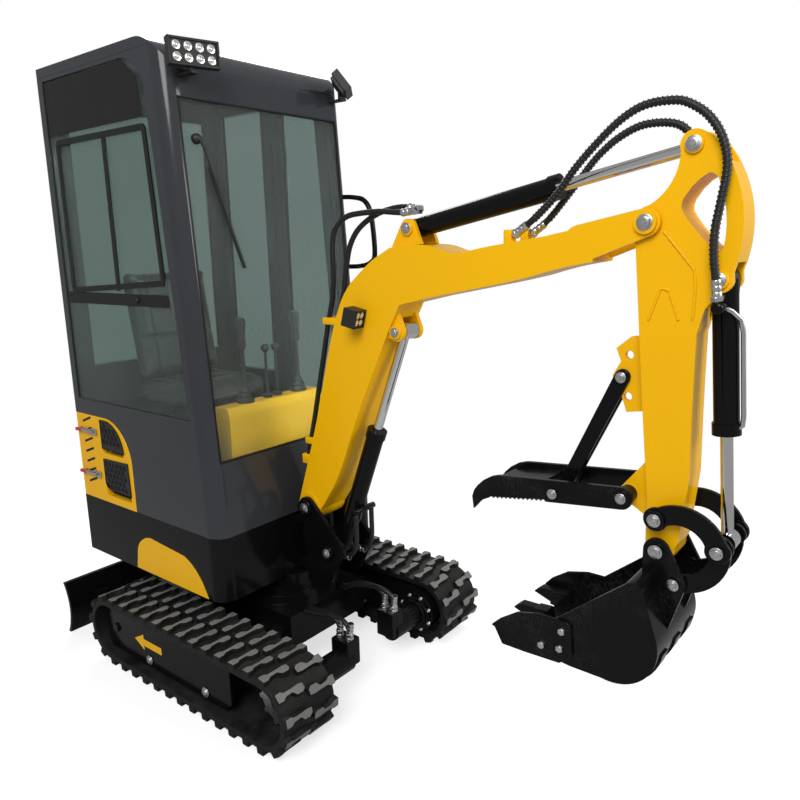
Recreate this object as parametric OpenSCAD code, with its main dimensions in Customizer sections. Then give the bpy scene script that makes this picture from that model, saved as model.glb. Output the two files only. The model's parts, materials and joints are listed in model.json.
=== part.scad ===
// Mini excavator with an enclosed cab, rubber tracks, a dozer blade, a swing boom and a bucket with a thumb.
// Millimetres. X points forward, Y to the operator's left, Z up; the origin is on the ground under the slew axis.

/* [Tracks] */
// Length of each track over its lug tips
track_len = 1158; // [1040:2:1400]
// Width over both tracks
track_span = 1076; // [980:2:1300]
// Width of one rubber belt
belt_w = 226; // [180:2:250]
// Height of the track loop over its lug tips
track_h = 282; // [260:2:320]
// Height of a lug above the belt
lug_h = 18; // [10:1:22]
// Lugs on one half of the belt
lug_count = 35; // [24:1:40]

/* [Blade] */
// Width of the dozer blade
blade_w = 1040; // [900:2:1300]
// Height of the dozer blade
blade_h = 222; // [180:2:260]
// Distance of the blade behind the slew axis
blade_x = 786; // [740:2:900]

/* [House] */
// Tail behind the slew axis
house_rear = 748; // [700:2:860]
// Front wall ahead of the slew axis at deck level
house_front = 130; // [100:2:150]
// Width of the upper structure
house_w = 812; // [760:2:960]
// Underside of the platform above the ground
skirt_z = 367; // [350:1:400]
// Deck level
deck_z = 605; // [590:1:640]
// Lower edge of the windscreen
sill_z = 868; // [800:1:960]
// Lower edge of the front header
head_z = 2064; // [1900:1:2120]
// Top of the roof
roof_z = 2250; // [2150:1:2400]
// Thickness of a cab wall
wall = 30; // [22:1:40]
// Backward lean of the cab front in degrees
lean = 3.66; // [1:0.01:6]
// Radius of the upright corners of the cab
corner_r = 62; // [45:1:90]
// Gap around a door
door_gap = 7; // [6:0.5:12]

/* [Boom] */
// Forward reach from the boom foot pin to the arm pin
boom_reach = 1205; // [1080:5:1400]
// Rise from the boom foot pin to the arm pin
boom_rise = 973; // [900:5:1050]
// Width of the boom box
boom_w = 130; // [120:2:150]
// Height of the boom foot pin
foot_z = 655; // [645:1:680]

/* [Arm and bucket] */
// Drop from the arm pin to the bucket pin
arm_len = 822; // [780:2:960]
// Width of the arm box
arm_w = 96; // [90:2:110]
// Width of the bucket over its side plates
bucket_w = 310; // [270:2:420]
// Width of one thumb plate pair over its outer faces
thumb_w = 176; // [160:2:240]

/* [Pins] */
// Radius of the main pins
pin_r = 20; // [14:0.5:22]
// Running clearance of a pin in its bore
run = 0.05; // [0.02:0.01:0.1]

/* [Hidden] */
$fn = 48;

yellow = [0.93, 0.66, 0.08];
grey = [0.22, 0.24, 0.27];
black = [0.07, 0.07, 0.08];
rubber = [0.10, 0.10, 0.10];
steel = [0.62, 0.63, 0.65];
glass = [0.20, 0.28, 0.27];

// Track layout
tr = track_h / 2;
wheel_x = track_len / 2 - tr;
belt_r = tr - lug_h;
in_r = belt_r - 20;
ty0 = track_span / 2 - belt_w;
ty1 = track_span / 2;
frame_out = ty1 - 38;
frame_in = ty0 + 26;
frame_rear = -wheel_x - 62;
frame_front = wheel_x - 180;
beam_rear = -wheel_x + in_r + 8;
rollers = [-wheel_x / 2 - 1, wheel_x * 0.27];
slew_r = 168;

// Blade layout
blade_q = [-290, 150];
blade_k = [-268, 262];
blade_j = [-blade_x + 86, 120];
blade_low = 12;

// House layout
hw = house_w / 2;
hx0 = -house_rear;
swing_x = house_front + 75;
hood_z = deck_z + 350;
roof_in = roof_z - 35;
hood_x = hx0 + 379;
door_x0 = hood_x + 8;

// Front work group pins
F = [swing_x + 25, foot_z];
G = [swing_x + 128, foot_z - 151];
A = F + [boom_reach, boom_rise];
H = bm(0.3469, 0.6814);
E = bm(0.3892, 1.0093);
D = A + [69, -arm_len];
R = A + [98, 171];
T = A + [172, -136];
P = D + [-2, 90];
B = D + [151, 40];
C = D + [48, -78];
U = D + [-94, 126];
V = U + [-193, -25];
W = A + [-62, -390 * arm_len / 822];

function bm(u, w) = F + [u * boom_reach, w * boom_rise];
function am(x, z) = A + [x, z < -200 ? -200 + (z + 200) * (arm_len - 200) / 622 : z];
function bd(x, z) = D + [x, z];
function ang(a, b) = atan2(b[1] - a[1], b[0] - a[0]);
function frontx(z) = house_front - (z - deck_z) * tan(lean);

// An outline in the X Z plane made into a plate between two values of Y
module slab(y0, y1) {
  translate([0, y1, 0])
    rotate([90, 0, 0])
      linear_extrude(y1 - y0)
        children();
}

// A round bar along Y
module rod_y(p, r, y0, y1) {
  translate([p[0], y1, p[1]])
    rotate([90, 0, 0])
      cylinder(r = r, h = y1 - y0);
}

module both() {
  children();
  mirror([0, 1, 0])
    children();
}

// Two circles joined by their outer tangents
module link(a, ra, b, rb) {
  d = norm(b - a);
  t = ang(a, b);
  k = acos((ra - rb) / d);
  translate(a)
    circle(r = ra);
  translate(b)
    circle(r = rb);
  polygon([a + ra * [cos(t + k), sin(t + k)], a + ra * [cos(t - k), sin(t - k)],
    b + rb * [cos(t - k), sin(t - k)], b + rb * [cos(t + k), sin(t + k)]]);
}

module disc(p, r) {
  translate(p)
    circle(r = r);
}

module box(x0, x1, y0, y1, z0, z1) {
  translate([x0, y0, z0])
    cube([x1 - x0, y1 - y0, z1 - z0]);
}

// Places its children so that local Z runs from a towards b in the X Z plane
module aim(a, b) {
  translate([a[0], 0, a[1]])
    rotate([0, 90 - ang(a, b), 0])
      children();
}

// Tracks and undercarriage
module stadium(r) {
  disc([-wheel_x, tr], r);
  disc([wheel_x, tr], r);
  translate([-wheel_x, tr - r])
    square([2 * wheel_x, 2 * r]);
}

module lugs(shift) {
  run_l = 2 * wheel_x;
  arc_l = PI * belt_r;
  pitch = (2 * run_l + 2 * arc_l) / lug_count;
  for (i = [0 : lug_count - 1]) {
    s = (i + shift) * pitch;
    if (s < run_l)
      translate([-wheel_x + s, tr + belt_r])
        lug();
    else if (s < run_l + arc_l)
      translate([wheel_x, tr])
        rotate(-(s - run_l) / belt_r * 180 / PI)
          translate([0, belt_r])
            lug();
    else if (s < 2 * run_l + arc_l)
      translate([wheel_x - (s - run_l - arc_l), tr - belt_r])
        rotate(180)
          lug();
    else
      translate([-wheel_x, tr])
        rotate(180 - (s - 2 * run_l - arc_l) / belt_r * 180 / PI)
          translate([0, belt_r])
            lug();
  }
}

module lug() {
  polygon([[-17, -4], [17, -4], [12, lug_h], [-12, lug_h]]);
}

module track_loop() {
  slab(ty0 + 2, ty1 - 2)
    difference() {
      stadium(belt_r);
      stadium(in_r);
    }
  slab(ty0, ty0 + belt_w * 0.46)
    intersection() {
      lugs(0);
      difference() {
        stadium(tr);
        stadium(belt_r - 2);
      }
    }
  slab(ty1 - belt_w * 0.46, ty1)
    intersection() {
      lugs(0.5);
      difference() {
        stadium(tr);
        stadium(belt_r - 2);
      }
    }
}

module track_left() {
  color(rubber)
    track_loop();
}

module track_right() {
  color(rubber)
    mirror([0, 1, 0])
      track_loop();
}

module track_frames() {
  color(black)
    both()
      difference() {
        union() {
          slab(frame_out - 15, frame_out)
            polygon([[frame_rear, tr - 60], [frame_rear + 20, tr - 90], [frame_front - 33, tr - 90],
              [frame_front, tr - 60], [frame_front, tr + 80], [frame_rear, tr + 80]]);
          slab(frame_in, frame_in + 15) {
            polygon([[frame_rear, tr - 60], [frame_rear + 20, tr - 90], [wheel_x, tr - 80], [wheel_x, tr + 80],
              [frame_rear, tr + 80]]);
            disc([wheel_x, tr], 80);
          }
          box(beam_rear, frame_front - 8, frame_in + 10, frame_out - 10, tr - 18, tr + 74);
        }
        rod_y([-wheel_x, tr], 18, 0, ty1);
        rod_y([wheel_x, tr], 60, 0, frame_out - 20);
        for (x = rollers)
          rod_y([x, tr - 63], 12, 0, ty1);
      }
}

module sprockets() {
  color(steel)
    both()
      slab(ty0 + 83, ty0 + 133)
        difference() {
          union() {
            disc([wheel_x, tr], in_r - 16);
            for (i = [0 : 10])
              translate([wheel_x, tr])
                rotate(i * 360 / 11)
                  polygon([[-14, in_r - 24], [14, in_r - 24], [7, in_r - 3], [-7, in_r - 3]]);
          }
          disc([wheel_x, tr], 40);
        }
}

module idlers() {
  color(black)
    both() {
      difference() {
        rod_y([-wheel_x, tr], in_r - 1, frame_in + 25, frame_out - 25);
        rod_y([-wheel_x, tr], in_r - 22, frame_out - 45, frame_out);
      }
      rod_y([-wheel_x, tr], 18, frame_in - 8, frame_out + 8);
    }
}

module track_rollers() {
  color(steel)
    both()
      for (x = rollers) {
        rod_y([x, tr - 63], tr - 63 - (tr - in_r) - 1, frame_in + 25, frame_out - 25);
        rod_y([x, tr - 63], 12, frame_in - 6, frame_out + 9);
        rod_y([x, tr - 63], 19, frame_out, frame_out + 5);
      }
}

module travel_motors() {
  color(black)
    both() {
      rod_y([wheel_x, tr], 60, ty0 - 80, ty0 + 83);
      rod_y([wheel_x, tr], 40, ty0 + 80, ty0 + 139);
      rod_y([wheel_x, tr], 74, ty0 - 60, frame_in);
      box(wheel_x - 52, wheel_x + 52, ty0 - 150, ty0 - 75, tr - 42, tr + 58);
    }
}

module lower_frame() {
  color(black)
    difference() {
      union() {
        box(-240, 240, -200, 200, 140, 268);
        translate([0, 0, 260])
          cylinder(r = 205, h = 40);
        for (x = [-190, 100])
          box(x, x + 110, -frame_in, frame_in, 145, 215);
        both()
          slab(150, 168)
            link(blade_q, 34, [-230, 180], 34);
        both()
          slab(27, 41)
            link(blade_k, 25, [-215, 262], 25);
      }
      slab(-27, 27)
        disc(blade_k, 34);
      both()
        rod_y(blade_q, 14 + run, 140, 180);
    }
  color(steel)
    rod_y(blade_k, 12, -47, 47);
}

module slew_ring() {
  color(steel)
    difference() {
      translate([0, 0, 300])
        cylinder(r = slew_r, h = skirt_z - 300 - 1);
      translate([0, 0, 299])
        cylinder(r = 130 + run, h = skirt_z - 290);
    }
}

// Dozer blade
module blade() {
  color(black) {
    slab(-blade_w / 2, blade_w / 2)
      intersection() {
        translate([-blade_x - 199, blade_low + blade_h / 2])
          difference() {
            circle(r = 226, $fn = 96);
            circle(r = 212, $fn = 96);
          }
        translate([-blade_x - 60, blade_low])
          square([120, blade_h]);
      }
    both()
      slab(171, 189)
        difference() {
          union() {
            link(blade_q, 32, [-blade_x + 60, 118], 44);
            polygon([[-blade_x + 60, 74], [-blade_x + 60, 196], [-blade_x + 24, 196], [-blade_x + 24, 74]]);
          }
          disc([-blade_x - 199, blade_low + blade_h / 2], 225);
        }
    slab(-172, 172)
      difference() {
        polygon([[-blade_x + 60, 96], [-blade_x + 60, 140], [-blade_x + 24, 150], [-blade_x + 24, 86]]);
        disc([-blade_x - 199, blade_low + blade_h / 2], 225);
      }
    both()
      slab(26, 38)
        link(blade_j, 24, [-blade_x + 52, 118], 20);
  }
  color(steel)
    both() {
      rod_y(blade_q, 14, 140, 198);
      rod_y(blade_j, 16, 38, 45);
    }
}

module barrel(a, b, len, r, rr, eye_r, eye_y, pr) {
  difference() {
    union() {
      aim(a, b)
        cylinder(r = r, h = len);
      aim(a, b)
        translate([0, 0, len - 30])
          cylinder(r = r + 4, h = 30);
      rod_y(a, eye_r, -eye_y, eye_y);
    }
    if (pr > 0)
      rod_y(a, pr + run, -99, 99);
    aim(a, b)
      translate([0, 0, eye_r + 6])
        cylinder(r = rr + run, h = len);
  }
}

module rod(a, b, len, rr, eye_r, eye_y, bore) {
  difference() {
    union() {
      aim(b, a)
        cylinder(r = rr, h = len);
      rod_y(b, eye_r, -eye_y, eye_y);
    }
    rod_y(b, bore, -99, 99);
  }
}

module blade_barrel() {
  color(black)
    barrel(blade_k, blade_j, 270, 25, 13, 22, 25, 12);
}

module blade_rod() {
  color(steel)
    rod(blade_k, blade_j, 270, 13, 21, 22, 12);
}

// Upper structure
module plan(x0, x1, w, r) {
  translate([x0, -w / 2])
    square([x1 - x0 - r, w]);
  translate([x0, -w / 2 + r])
    square([x1 - x0, w - 2 * r]);
  for (s = [-1, 1])
    translate([x1 - r, s * (w / 2 - r)])
      circle(r = r);
}

module platform() {
  color(black)
    difference() {
      union() {
        difference() {
          translate([0, 0, skirt_z])
            linear_extrude(deck_z - skirt_z)
              plan(hx0, house_front, house_w, corner_r);
          translate([0, 0, skirt_z + 25])
            linear_extrude(deck_z - skirt_z)
              plan(hx0 + 24, house_front - 24, house_w - 48, corner_r - 24);
        }
        translate([0, 0, skirt_z - 40])
          cylinder(r = 130, h = 50);
        for (z = [skirt_z + 18, deck_z - 40])
          translate([0, 0, z])
            linear_extrude(25) {
              disc([swing_x, 0], 45);
              translate([house_front - 10, -45])
                square([swing_x - house_front + 10, 90]);
            }
      }
    }
  color(steel)
    translate([swing_x, 0, skirt_z + 10])
      cylinder(r = 22, h = deck_z - skirt_z - 19);
}

module engine_block() {
  color(grey)
    box(hx0 + 60, hood_x - 30, -230, 230, skirt_z + 25, hood_z - 60);
}

// Solid outer form of the cab, d inside its skin
module cab_form(d) {
  intersection() {
    translate([house_front - d, 0, deck_z])
      rotate([0, -lean, 0])
        translate([0, 0, -200])
          linear_extrude(roof_z - deck_z + 600)
            plan(-house_rear - house_front - 400, 0, house_w - 2 * d, corner_r - d);
    box(hx0 + d, house_front + 50, -hw, hw, deck_z, roof_z - (d > 0 ? 35 : 0));
    slab(-hw, hw)
      cab_side(d);
  }
}

module cab_side(d) {
  r = 150 - d;
  t = roof_z - (d > 0 ? 35 : 0);
  cx = frontx(t - r) - d - r + 4;
  translate([hx0 + d, deck_z - 1])
    square([cx - hx0 - d, t - deck_z + 1]);
  polygon([[cx - 1, deck_z - 1], [house_front + 60, deck_z - 1], [frontx(t - r) + 60, t - r],
    [cx - 1, t - r]]);
  intersection() {
    disc([cx, t - r], r);
    translate([cx - 1, t - r - 1])
      square([r + 2, r + 2]);
  }
}

// Everything ahead of the leaning joint behind the front pillars
module front_zone(back) {
  translate([house_front - back, 0, deck_z])
    rotate([0, -lean, 0])
      translate([0, -hw - 50, -300])
        cube([500, house_w + 100, roof_z - deck_z + 600]);
}

module cab_skin() {
  difference() {
    cab_form(0);
    cab_form(wall);
  }
}

module under_roof() {
  box(hx0 - 10, house_front + 60, -hw - 10, hw + 10, deck_z - 10, roof_in);
}

// Outline of the hood side, seen from the side
module hood_side() {
  w = hood_x - hx0;
  translate([hx0, deck_z])
    square([w - 170, hood_z - deck_z]);
  translate([hx0, deck_z])
    square([w, hood_z - deck_z - 170]);
  disc([hx0 + w - 170, hood_z - 170], 170);
}

// Outline of the fixed side window
module side_pane(d) {
  x0 = hx0 + 35 + d;
  z0 = hood_z + 62 + d;
  z1 = roof_z - 49 - d;
  polygon([[x0, z0], [frontx(z0) - 82 - d, z0], [frontx(z1 - 134) - 106 - d, z1 - 134], [frontx(z1) - 245, z1], [x0, z1]]);
  intersection() {
    disc([frontx(z1) - 240, z1 - 150], 150);
    translate([frontx(z1) - 240, z1 - 160])
      square([frontx(z1 - 134) - 106 - d - frontx(z1) + 240, 160]);
  }
}

module cab_right_panel() {
  color(grey)
    difference() {
      intersection() {
        cab_skin();
        under_roof();
        box(hx0 - 5, house_front + 50, -hw - 5, -hw + wall, deck_z, roof_z);
      }
      front_zone(corner_r + 13);
      slab(-hw - 9, -hw + wall + 1) {
        side_pane(0);
        hood_side();
      }
    }
}

module cab_left_panel() {
  color(grey)
    difference() {
      intersection() {
        cab_skin();
        under_roof();
        box(hx0 - 5, door_x0, hw - wall, hw + 5, deck_z, roof_z);
      }
      slab(hw - wall - 1, hw + 9) {
        quarter_pane();
        hood_side();
      }
    }
}

module quarter_pane() {
  translate([hx0 + 60, hood_z + 80])
    square([door_x0 - hx0 - 120, roof_z - 90 - hood_z - 80]);
}

module cab_front_frame() {
  color(grey)
    difference() {
      intersection() {
        cab_skin();
        under_roof();
        front_zone(corner_r + 13);
      }
      rotate_front()
        translate([-80, -hw + 46, sill_z - deck_z])
          cube([200, house_w - 92, head_z - sill_z]);
    }
}

module rotate_front() {
  translate([house_front, 0, deck_z])
    rotate([0, -lean, 0])
      children();
}

module windscreen() {
  color(glass)
    rotate_front()
      translate([-16, -hw + 46, sill_z - deck_z])
        cube([8, house_w - 92, head_z - sill_z]);
}

module cab_rear_panel() {
  color(grey)
    difference() {
      intersection() {
        cab_skin();
        under_roof();
        box(hx0 - 5, hx0 + wall, -hw + wall, hw - wall, hood_z, roof_z);
      }
      box(hx0 - 9, hx0 + wall + 9, -hw + 90, hw - 90, hood_z + 180, roof_z - 120);
    }
}

module rear_window() {
  color(glass)
    box(hx0 + 6, hx0 + 14, -hw + 90, hw - 90, hood_z + 180, roof_z - 120);
}

module cab_roof() {
  color(grey)
    intersection() {
      cab_form(0);
      box(hx0 - 5, house_front + 60, -hw - 5, hw + 5, roof_in, roof_z + 5);
    }
}

module right_window() {
  color(glass)
    slab(-hw + 5, -hw + 13)
      side_pane(0);
}

module left_window() {
  color(glass)
    slab(hw - 13, hw - 5)
      quarter_pane();
}

module cab_floor() {
  color(black)
    difference() {
      union() {
        box(hood_x - 18, house_front - 70, -hw + wall, hw - wall, deck_z, deck_z + 18);
        box(hood_x - 18, hood_x, -hw + wall, hw - wall, deck_z, hood_z + 18);
        box(hx0 + wall, hood_x, -hw + wall, hw - wall, hood_z, hood_z + 18);
      }
    }
}

module grille_area() {
  w = hood_x - hx0;
  translate([hx0 + 175, deck_z + 30])
    square([w - 205, 150]);
  intersection() {
    disc([hx0 + w - 195, hood_z - 165], 140);
    translate([hx0 + 175, deck_z + 205])
      square([w, 200]);
  }
}

module engine_cover() {
  color(yellow)
    both()
      slab(hw - wall, hw)
        difference() {
          hood_side();
          grille_area();
        }
}

module side_grilles() {
  color(black)
    both()
      slab(hw - 20, hw - 8)
        grille_area();
}

module engine_door() {
  y1 = hw - wall - door_gap;
  color(yellow) {
    difference() {
      box(hx0, hx0 + wall, -y1, y1, deck_z + door_gap, hood_z - door_gap);
      for (s = [-1, 1])
        for (i = [0 : 5])
          translate([hx0 - 5, s * (y1 - 110) - 45, deck_z + 70 + i * 42])
            cube([wall + 10, 90, 14]);
    }
    for (z = [deck_z + 60, hood_z - 110])
      difference() {
        union() {
          translate([hx0 - 9, y1 + 3, z])
            cylinder(r = 9, h = 50);
          box(hx0 - 14, hx0 + 2, y1 - 40, y1 + 2, z, z + 50);
        }
        translate([hx0 - 9, y1 + 3, z - 1])
          cylinder(r = 4 + run, h = 52);
      }
  }
}

// Pins of the rear door, fixed to the house
module door_hinges() {
  y1 = hw - wall - door_gap;
  color(black)
    for (z = [deck_z + 60, hood_z - 110])
      difference() {
        union() {
          translate([hx0 - 9, y1 + 3, z - 12])
            cylinder(r = 4, h = 74);
          for (dz = [-12, 51])
            translate([0, 0, z + dz]) {
              translate([hx0 - 9, y1 + 3, 0])
                cylinder(r = 9, h = 11);
              box(hx0 - 16, hx0, y1 + 2, hw - 4, 0, 11);
            }
        }
      }
}

// Outline of the cab door
module door_shape(d) {
  x0 = door_x0 + door_gap + d;
  z0 = deck_z + 12 + d;
  z1 = roof_in - door_gap - d;
  f = corner_r + 13 + door_gap + d;
  polygon([[x0, z0], [frontx(z0) - f, z0], [frontx(z1 - 80) - f, z1 - 80], [frontx(z1) - f - 60, z1], [x0, z1]]);
}

module cab_door() {
  color(grey)
    difference() {
      union() {
        slab(hw - wall, hw)
          difference() {
            door_shape(0);
            door_shape(52);
          }
        slab(hw - wall, hw)
          intersection() {
            door_shape(0);
            translate([door_x0, deck_z])
              square([800, 190]);
          }
        for (z = [deck_z + 200, roof_z - 320]) {
          translate([door_x0 + 4, hw + 9, z])
            cylinder(r = 9, h = 60);
          box(door_x0 + 6, door_x0 + 50, hw - 2, hw + 14, z, z + 60);
        }
      }
      for (z = [deck_z + 200, roof_z - 320])
        translate([door_x0 + 4, hw + 9, z - 1])
          cylinder(r = 4 + run, h = 62);
    }
  color(black)
    box(frontx(1200) - 170, frontx(1200) - 130, hw, hw + 30, 1150, 1270);
}

module door_glass() {
  color(glass)
    slab(hw - 18, hw - 10)
      difference() {
        door_shape(52);
        translate([door_x0, deck_z])
          square([800, 190]);
      }
}

module cab_hinges() {
  color(black)
    for (z = [deck_z + 200, roof_z - 320]) {
      translate([door_x0 + 4, hw + 9, z - 14])
        cylinder(r = 4, h = 88);
      for (dz = [-14, 61])
        translate([0, 0, z + dz]) {
          translate([door_x0 + 4, hw + 9, 0])
            cylinder(r = 9, h = 13);
          box(door_x0 - 46, door_x0 + 4, hw, hw + 16, 0, 13);
        }
    }
}

module seat() {
  color(black) {
    box(hood_x - 270, hood_x + 110, -210, 210, hood_z + 18, hood_z + 110);
    translate([hood_x - 215, 0, hood_z + 96])
      rotate([0, -9, 0])
        translate([-40, -200, 0])
          cube([80, 400, 480]);
  }
}

module control_levers() {
  color(black) {
    for (s = [-1, 1]) {
      box(hood_x - 60, hood_x + 90, s * 290 - 50, s * 290 + 50, hood_z + 18, hood_z + 160);
      translate([hood_x + 40, s * 290, hood_z + 150])
        cylinder(r = 9, h = 190);
      translate([hood_x + 40, s * 290, hood_z + 300])
        cylinder(r = 20, h = 90);
      translate([house_front - 170, s * 60, deck_z + 18])
        cylinder(r = 8, h = 560);
      translate([house_front - 170, s * 60, deck_z + 500])
        cylinder(r = 16, h = 110);
      box(house_front - 210, house_front - 130, s * 60 - 30, s * 60 + 30, deck_z + 18, deck_z + 60);
    }
  }
}

module work_lamps() {
  color(black)
    both()
      translate([frontx(roof_z - 80), hw - 45, roof_z - 80]) {
        difference() {
          translate([-40, -8, -8])
            cube([70, 16, 16]);
          translate([-frontx(roof_z - 80), 0, 80 - roof_z])
            cab_form(0);
        }
        translate([18, -31, -30])
          cube([50, 62, 60]);
      }
}

module grab_handle() {
  color(black)
    difference() {
      union() {
        for (z = [1480, 1800])
          translate([frontx(z) - corner_r / 2, hw - 30, z])
            rotate([0, 60, 45])
              cylinder(r = 9, h = 78);
        translate([frontx(1640) - corner_r / 2 + 45, hw + 18, 1500])
          cylinder(r = 9, h = 360);
      }
      cab_form(0);
    }
}

// Swing post
module swing_post() {
  color(black)
    difference() {
      union() {
        both()
          slab(70, 84) {
            link(F, 38, G, 56);
            link(G, 56, [swing_x + 72, skirt_z + 32], 46);
            polygon([[swing_x + 30, skirt_z + 12], [swing_x + 66, skirt_z - 18], G, F, [swing_x + 10, F[1]],
              [swing_x + 10, skirt_z + 40]]);
          }
        translate([swing_x, 0, skirt_z + 45])
          cylinder(r = 46, h = deck_z - skirt_z - 87);
        box(swing_x + 20, swing_x + 74, -72, 72, skirt_z + 45, skirt_z + 115);
        box(swing_x + 8, swing_x + 60, -72, 72, skirt_z + 130, skirt_z + 170);
      }
      translate([swing_x, 0, 0])
        cylinder(r = 22 + run, h = 900);
    }
  color(steel) {
    rod_y(F, pin_r, -92, 92);
    both() {
      rod_y(F, pin_r + 11, 84, 96);
      rod_y(G, 28, 84, 96);
    }
  }
}

// Boom
module boom_outline() {
  polygon([bm(-0.048, 0.0), bm(0.049, 0.341), bm(0.125, 0.675), bm(0.177, 0.814), bm(0.270, 0.907),
    bm(0.339, 0.950), bm(0.448, 0.962), bm(0.539, 0.926), bm(0.609, 0.945), bm(0.777, 0.973), bm(0.89, 0.999),
    bm(0.89, 0.904), bm(0.814, 0.888), bm(0.716, 0.855), bm(0.463, 0.797), bm(0.367, 0.771), bm(0.335, 0.700),
    bm(0.290, 0.587), bm(0.213, 0.400), bm(0.125, 0.136), bm(0.048, 0.0)]);
}

module boom() {
  hb = boom_w / 2;
  color(yellow)
    difference() {
      union() {
        slab(-hb, hb)
          boom_outline();
        rod_y(F, 52, -68, 68);
        both() {
          slab(hb - 13, hb)
            difference() {
              union() {
                link(A, 34, bm(0.86, 0.951), 48);
              }
              disc(A, 10);
            }
          slab(34, 48)
            link(E, 28, bm(0.385, 0.93), 62);
          slab(36, 52)
            link(H, 30, bm(0.30, 0.74), 60);
        }
      }
      rod_y(F, pin_r + run, -99, 99);
      rod_y(A, pin_r, -99, 99);
      slab(-33, 33)
        disc(E, 42);
      slab(-34, 34)
        disc(H, 44);
    }
  color(steel) {
    rod_y(A, pin_r, -hb - 6, hb + 6);
    rod_y(E, 15, -54, 54);
    rod_y(H, 14, -54, 54);
    both() {
      rod_y(A, pin_r + 8, hb, hb + 10);
      rod_y(E, 22, 48, 56);
      rod_y(H, 22, 52, 60);
    }
  }
}

module boom_lamp() {
  p = bm(0.237, 0.732);
  color(black) {
    translate([p[0] - 20, -boom_w / 2 - 24, p[1] - 6])
      cube([30, 24, 12]);
    translate([p[0] - 20, -boom_w / 2 - 84, p[1] - 34])
      cube([55, 62, 68]);
  }
}

module boom_barrel() {
  color(black)
    barrel(G, H, 500, 31, 16, 32, 30, 0);
  color(steel)
    rod_y(G, 17, -66, 66);
}

module boom_rod() {
  color(steel)
    rod(G, H, 580, 16, 28, 30, 14 + run);
}

// Arm
module arm_outline() {
  polygon([am(-31, -48), am(-31, 20), am(0, 37), am(53, 37), am(66, 59), am(73, 103), am(67, 159), R + [-22, 22],
    R + [6, 31], R + [30, 10], am(166, 86), am(201, 62), am(218, -25), T + [46, 10], T + [34, -30],
    T + [-10, -32], am(143, -205), am(128, -264), am(128, -372), am(129, -471), am(132, -623), D + [54, 26],
    D + [36, -14], D + [-14, -36], D + [-34, 12], am(29, -696), am(4, -436), am(-18, -186)]);
}

module arm() {
  ha = arm_w / 2;
  color(yellow)
    difference() {
      union() {
        slab(-ha, ha)
          arm_outline();
        rod_y(A, 42, -ha, ha);
        slab(-30, 30)
          link(U, 26, D + [-20, 160], 60);
        slab(-8, 8)
          difference() {
            polygon([am(10, -276), am(-45, -284), am(-84, -316), am(-70, -350), am(-92, -390), am(-68, -433),
              am(-50, -484), am(20, -472)]);
            disc(W + [14, 58], 11);
            disc(W, 11);
            disc(W + [14, -52], 11);
          }
      }
      rod_y(A, pin_r + run, -99, 99);
      rod_y(D, 17 + run, -99, 99);
      slab(-34, 34)
        union() {
          link(R + [24, 8], 34, R, 38);
          link(R, 38, R + [-9, -18], 34);
          link(R, 38, am(40, 210), 38);
          disc(T, 42);
          polygon([T + [-38, 10], T + [90, 10], T + [90, -120], T + [-38, -120]]);
        }
      slab(-99, 99)
        link(am(112, 28), 36, am(138, -34), 40);
      rod_y(P, 17, -99, 99);
    }
  color(steel) {
    rod_y(P, 17, -99, 99);
    rod_y(T, 14, -ha - 6, ha + 6);
    both() {
      rod_y(R, 22, ha, ha + 8);
      rod_y(T, 22, ha, ha + 8);
      rod_y(P, 26, 91, 99);
    }
  }
}

module thumb() {
  ht = thumb_w / 2;
  color(black)
    both()
      slab(ht - 14, ht)
        polygon([U + [-456, -118], U + [-432, -50], U + [-362, -14], U + [-235, 0], U + [-30, 22], U + [22, 14],
          U + [28, -22], U + [0, -42], U + [-173, -56], U + [-280, -66], U + [-300, -86], U + [-330, -72],
          U + [-370, -98], U + [-398, -80]]);
  color(black) {
    slab(-ht, ht)
      polygon([U + [-330, -22], U + [-255, -14], U + [-255, -26], U + [-330, -34]]);
    rod_y(U, 24, -ht, -30);
    rod_y(U, 24, 30, ht);
    rod_y(V, 11, -ht, ht);
  }
}

module thumb_strut() {
  color(black)
    both()
      slab(8, 18)
        difference() {
          link(V, 19, W, 21);
          disc(V, 11);
        }
  color(steel) {
    rod_y(W, 11, -18, 18);
    both()
      rod_y(W, 17, 18, 27);
  }
}

module hinge_brackets() {
  door_hinges();
  cab_hinges();
}

module arm_barrel() {
  color(black)
    barrel(E, R, 490, 30, 15, 27, 30, 15);
}

module arm_rod() {
  color(steel)
    rod(E, R, 540, 15, 28, 30, 14);
}

module bucket_barrel() {
  color(black)
    barrel(T, B, 375, 30, 15, 27, 30, 14);
}

module bucket_rod() {
  color(steel)
    rod(T, B, 420, 15, 25, 25, 13);
}

module rocker() {
  color(black)
    both()
      slab(78, 90)
        difference() {
          union() {
            link(P, 32, P + [70, 18], 24);
            link(P + [70, 18], 24, B, 32);
          }
          disc(P, 17 + run);
        }
  color(steel)
    both()
      rod_y(B, 20, 90, 98);
}

module bucket_link() {
  color(black)
    both()
      slab(53, 63)
        difference() {
          link(B, 30, C, 28);
          disc(C, 15 + run);
          disc(B, 14);
        }
}

// Bucket
module bowl() {
  polygon([bd(-350, -340), bd(-183, -364), bd(-88, -357), bd(-9, -327), bd(37, -262), bd(37, -202), bd(-2, -148),
    bd(-16, -74), bd(-44, -66), bd(-207, -234), bd(-310, -290)]);
}

module bowl_inside() {
  polygon([bd(-400, -322), bd(-183, -352), bd(-91, -345), bd(-17, -317), bd(25, -258), bd(25, -206), bd(-14, -152),
    bd(-24, -90), bd(-50, -40), bd(-400, -200)]);
}

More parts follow.
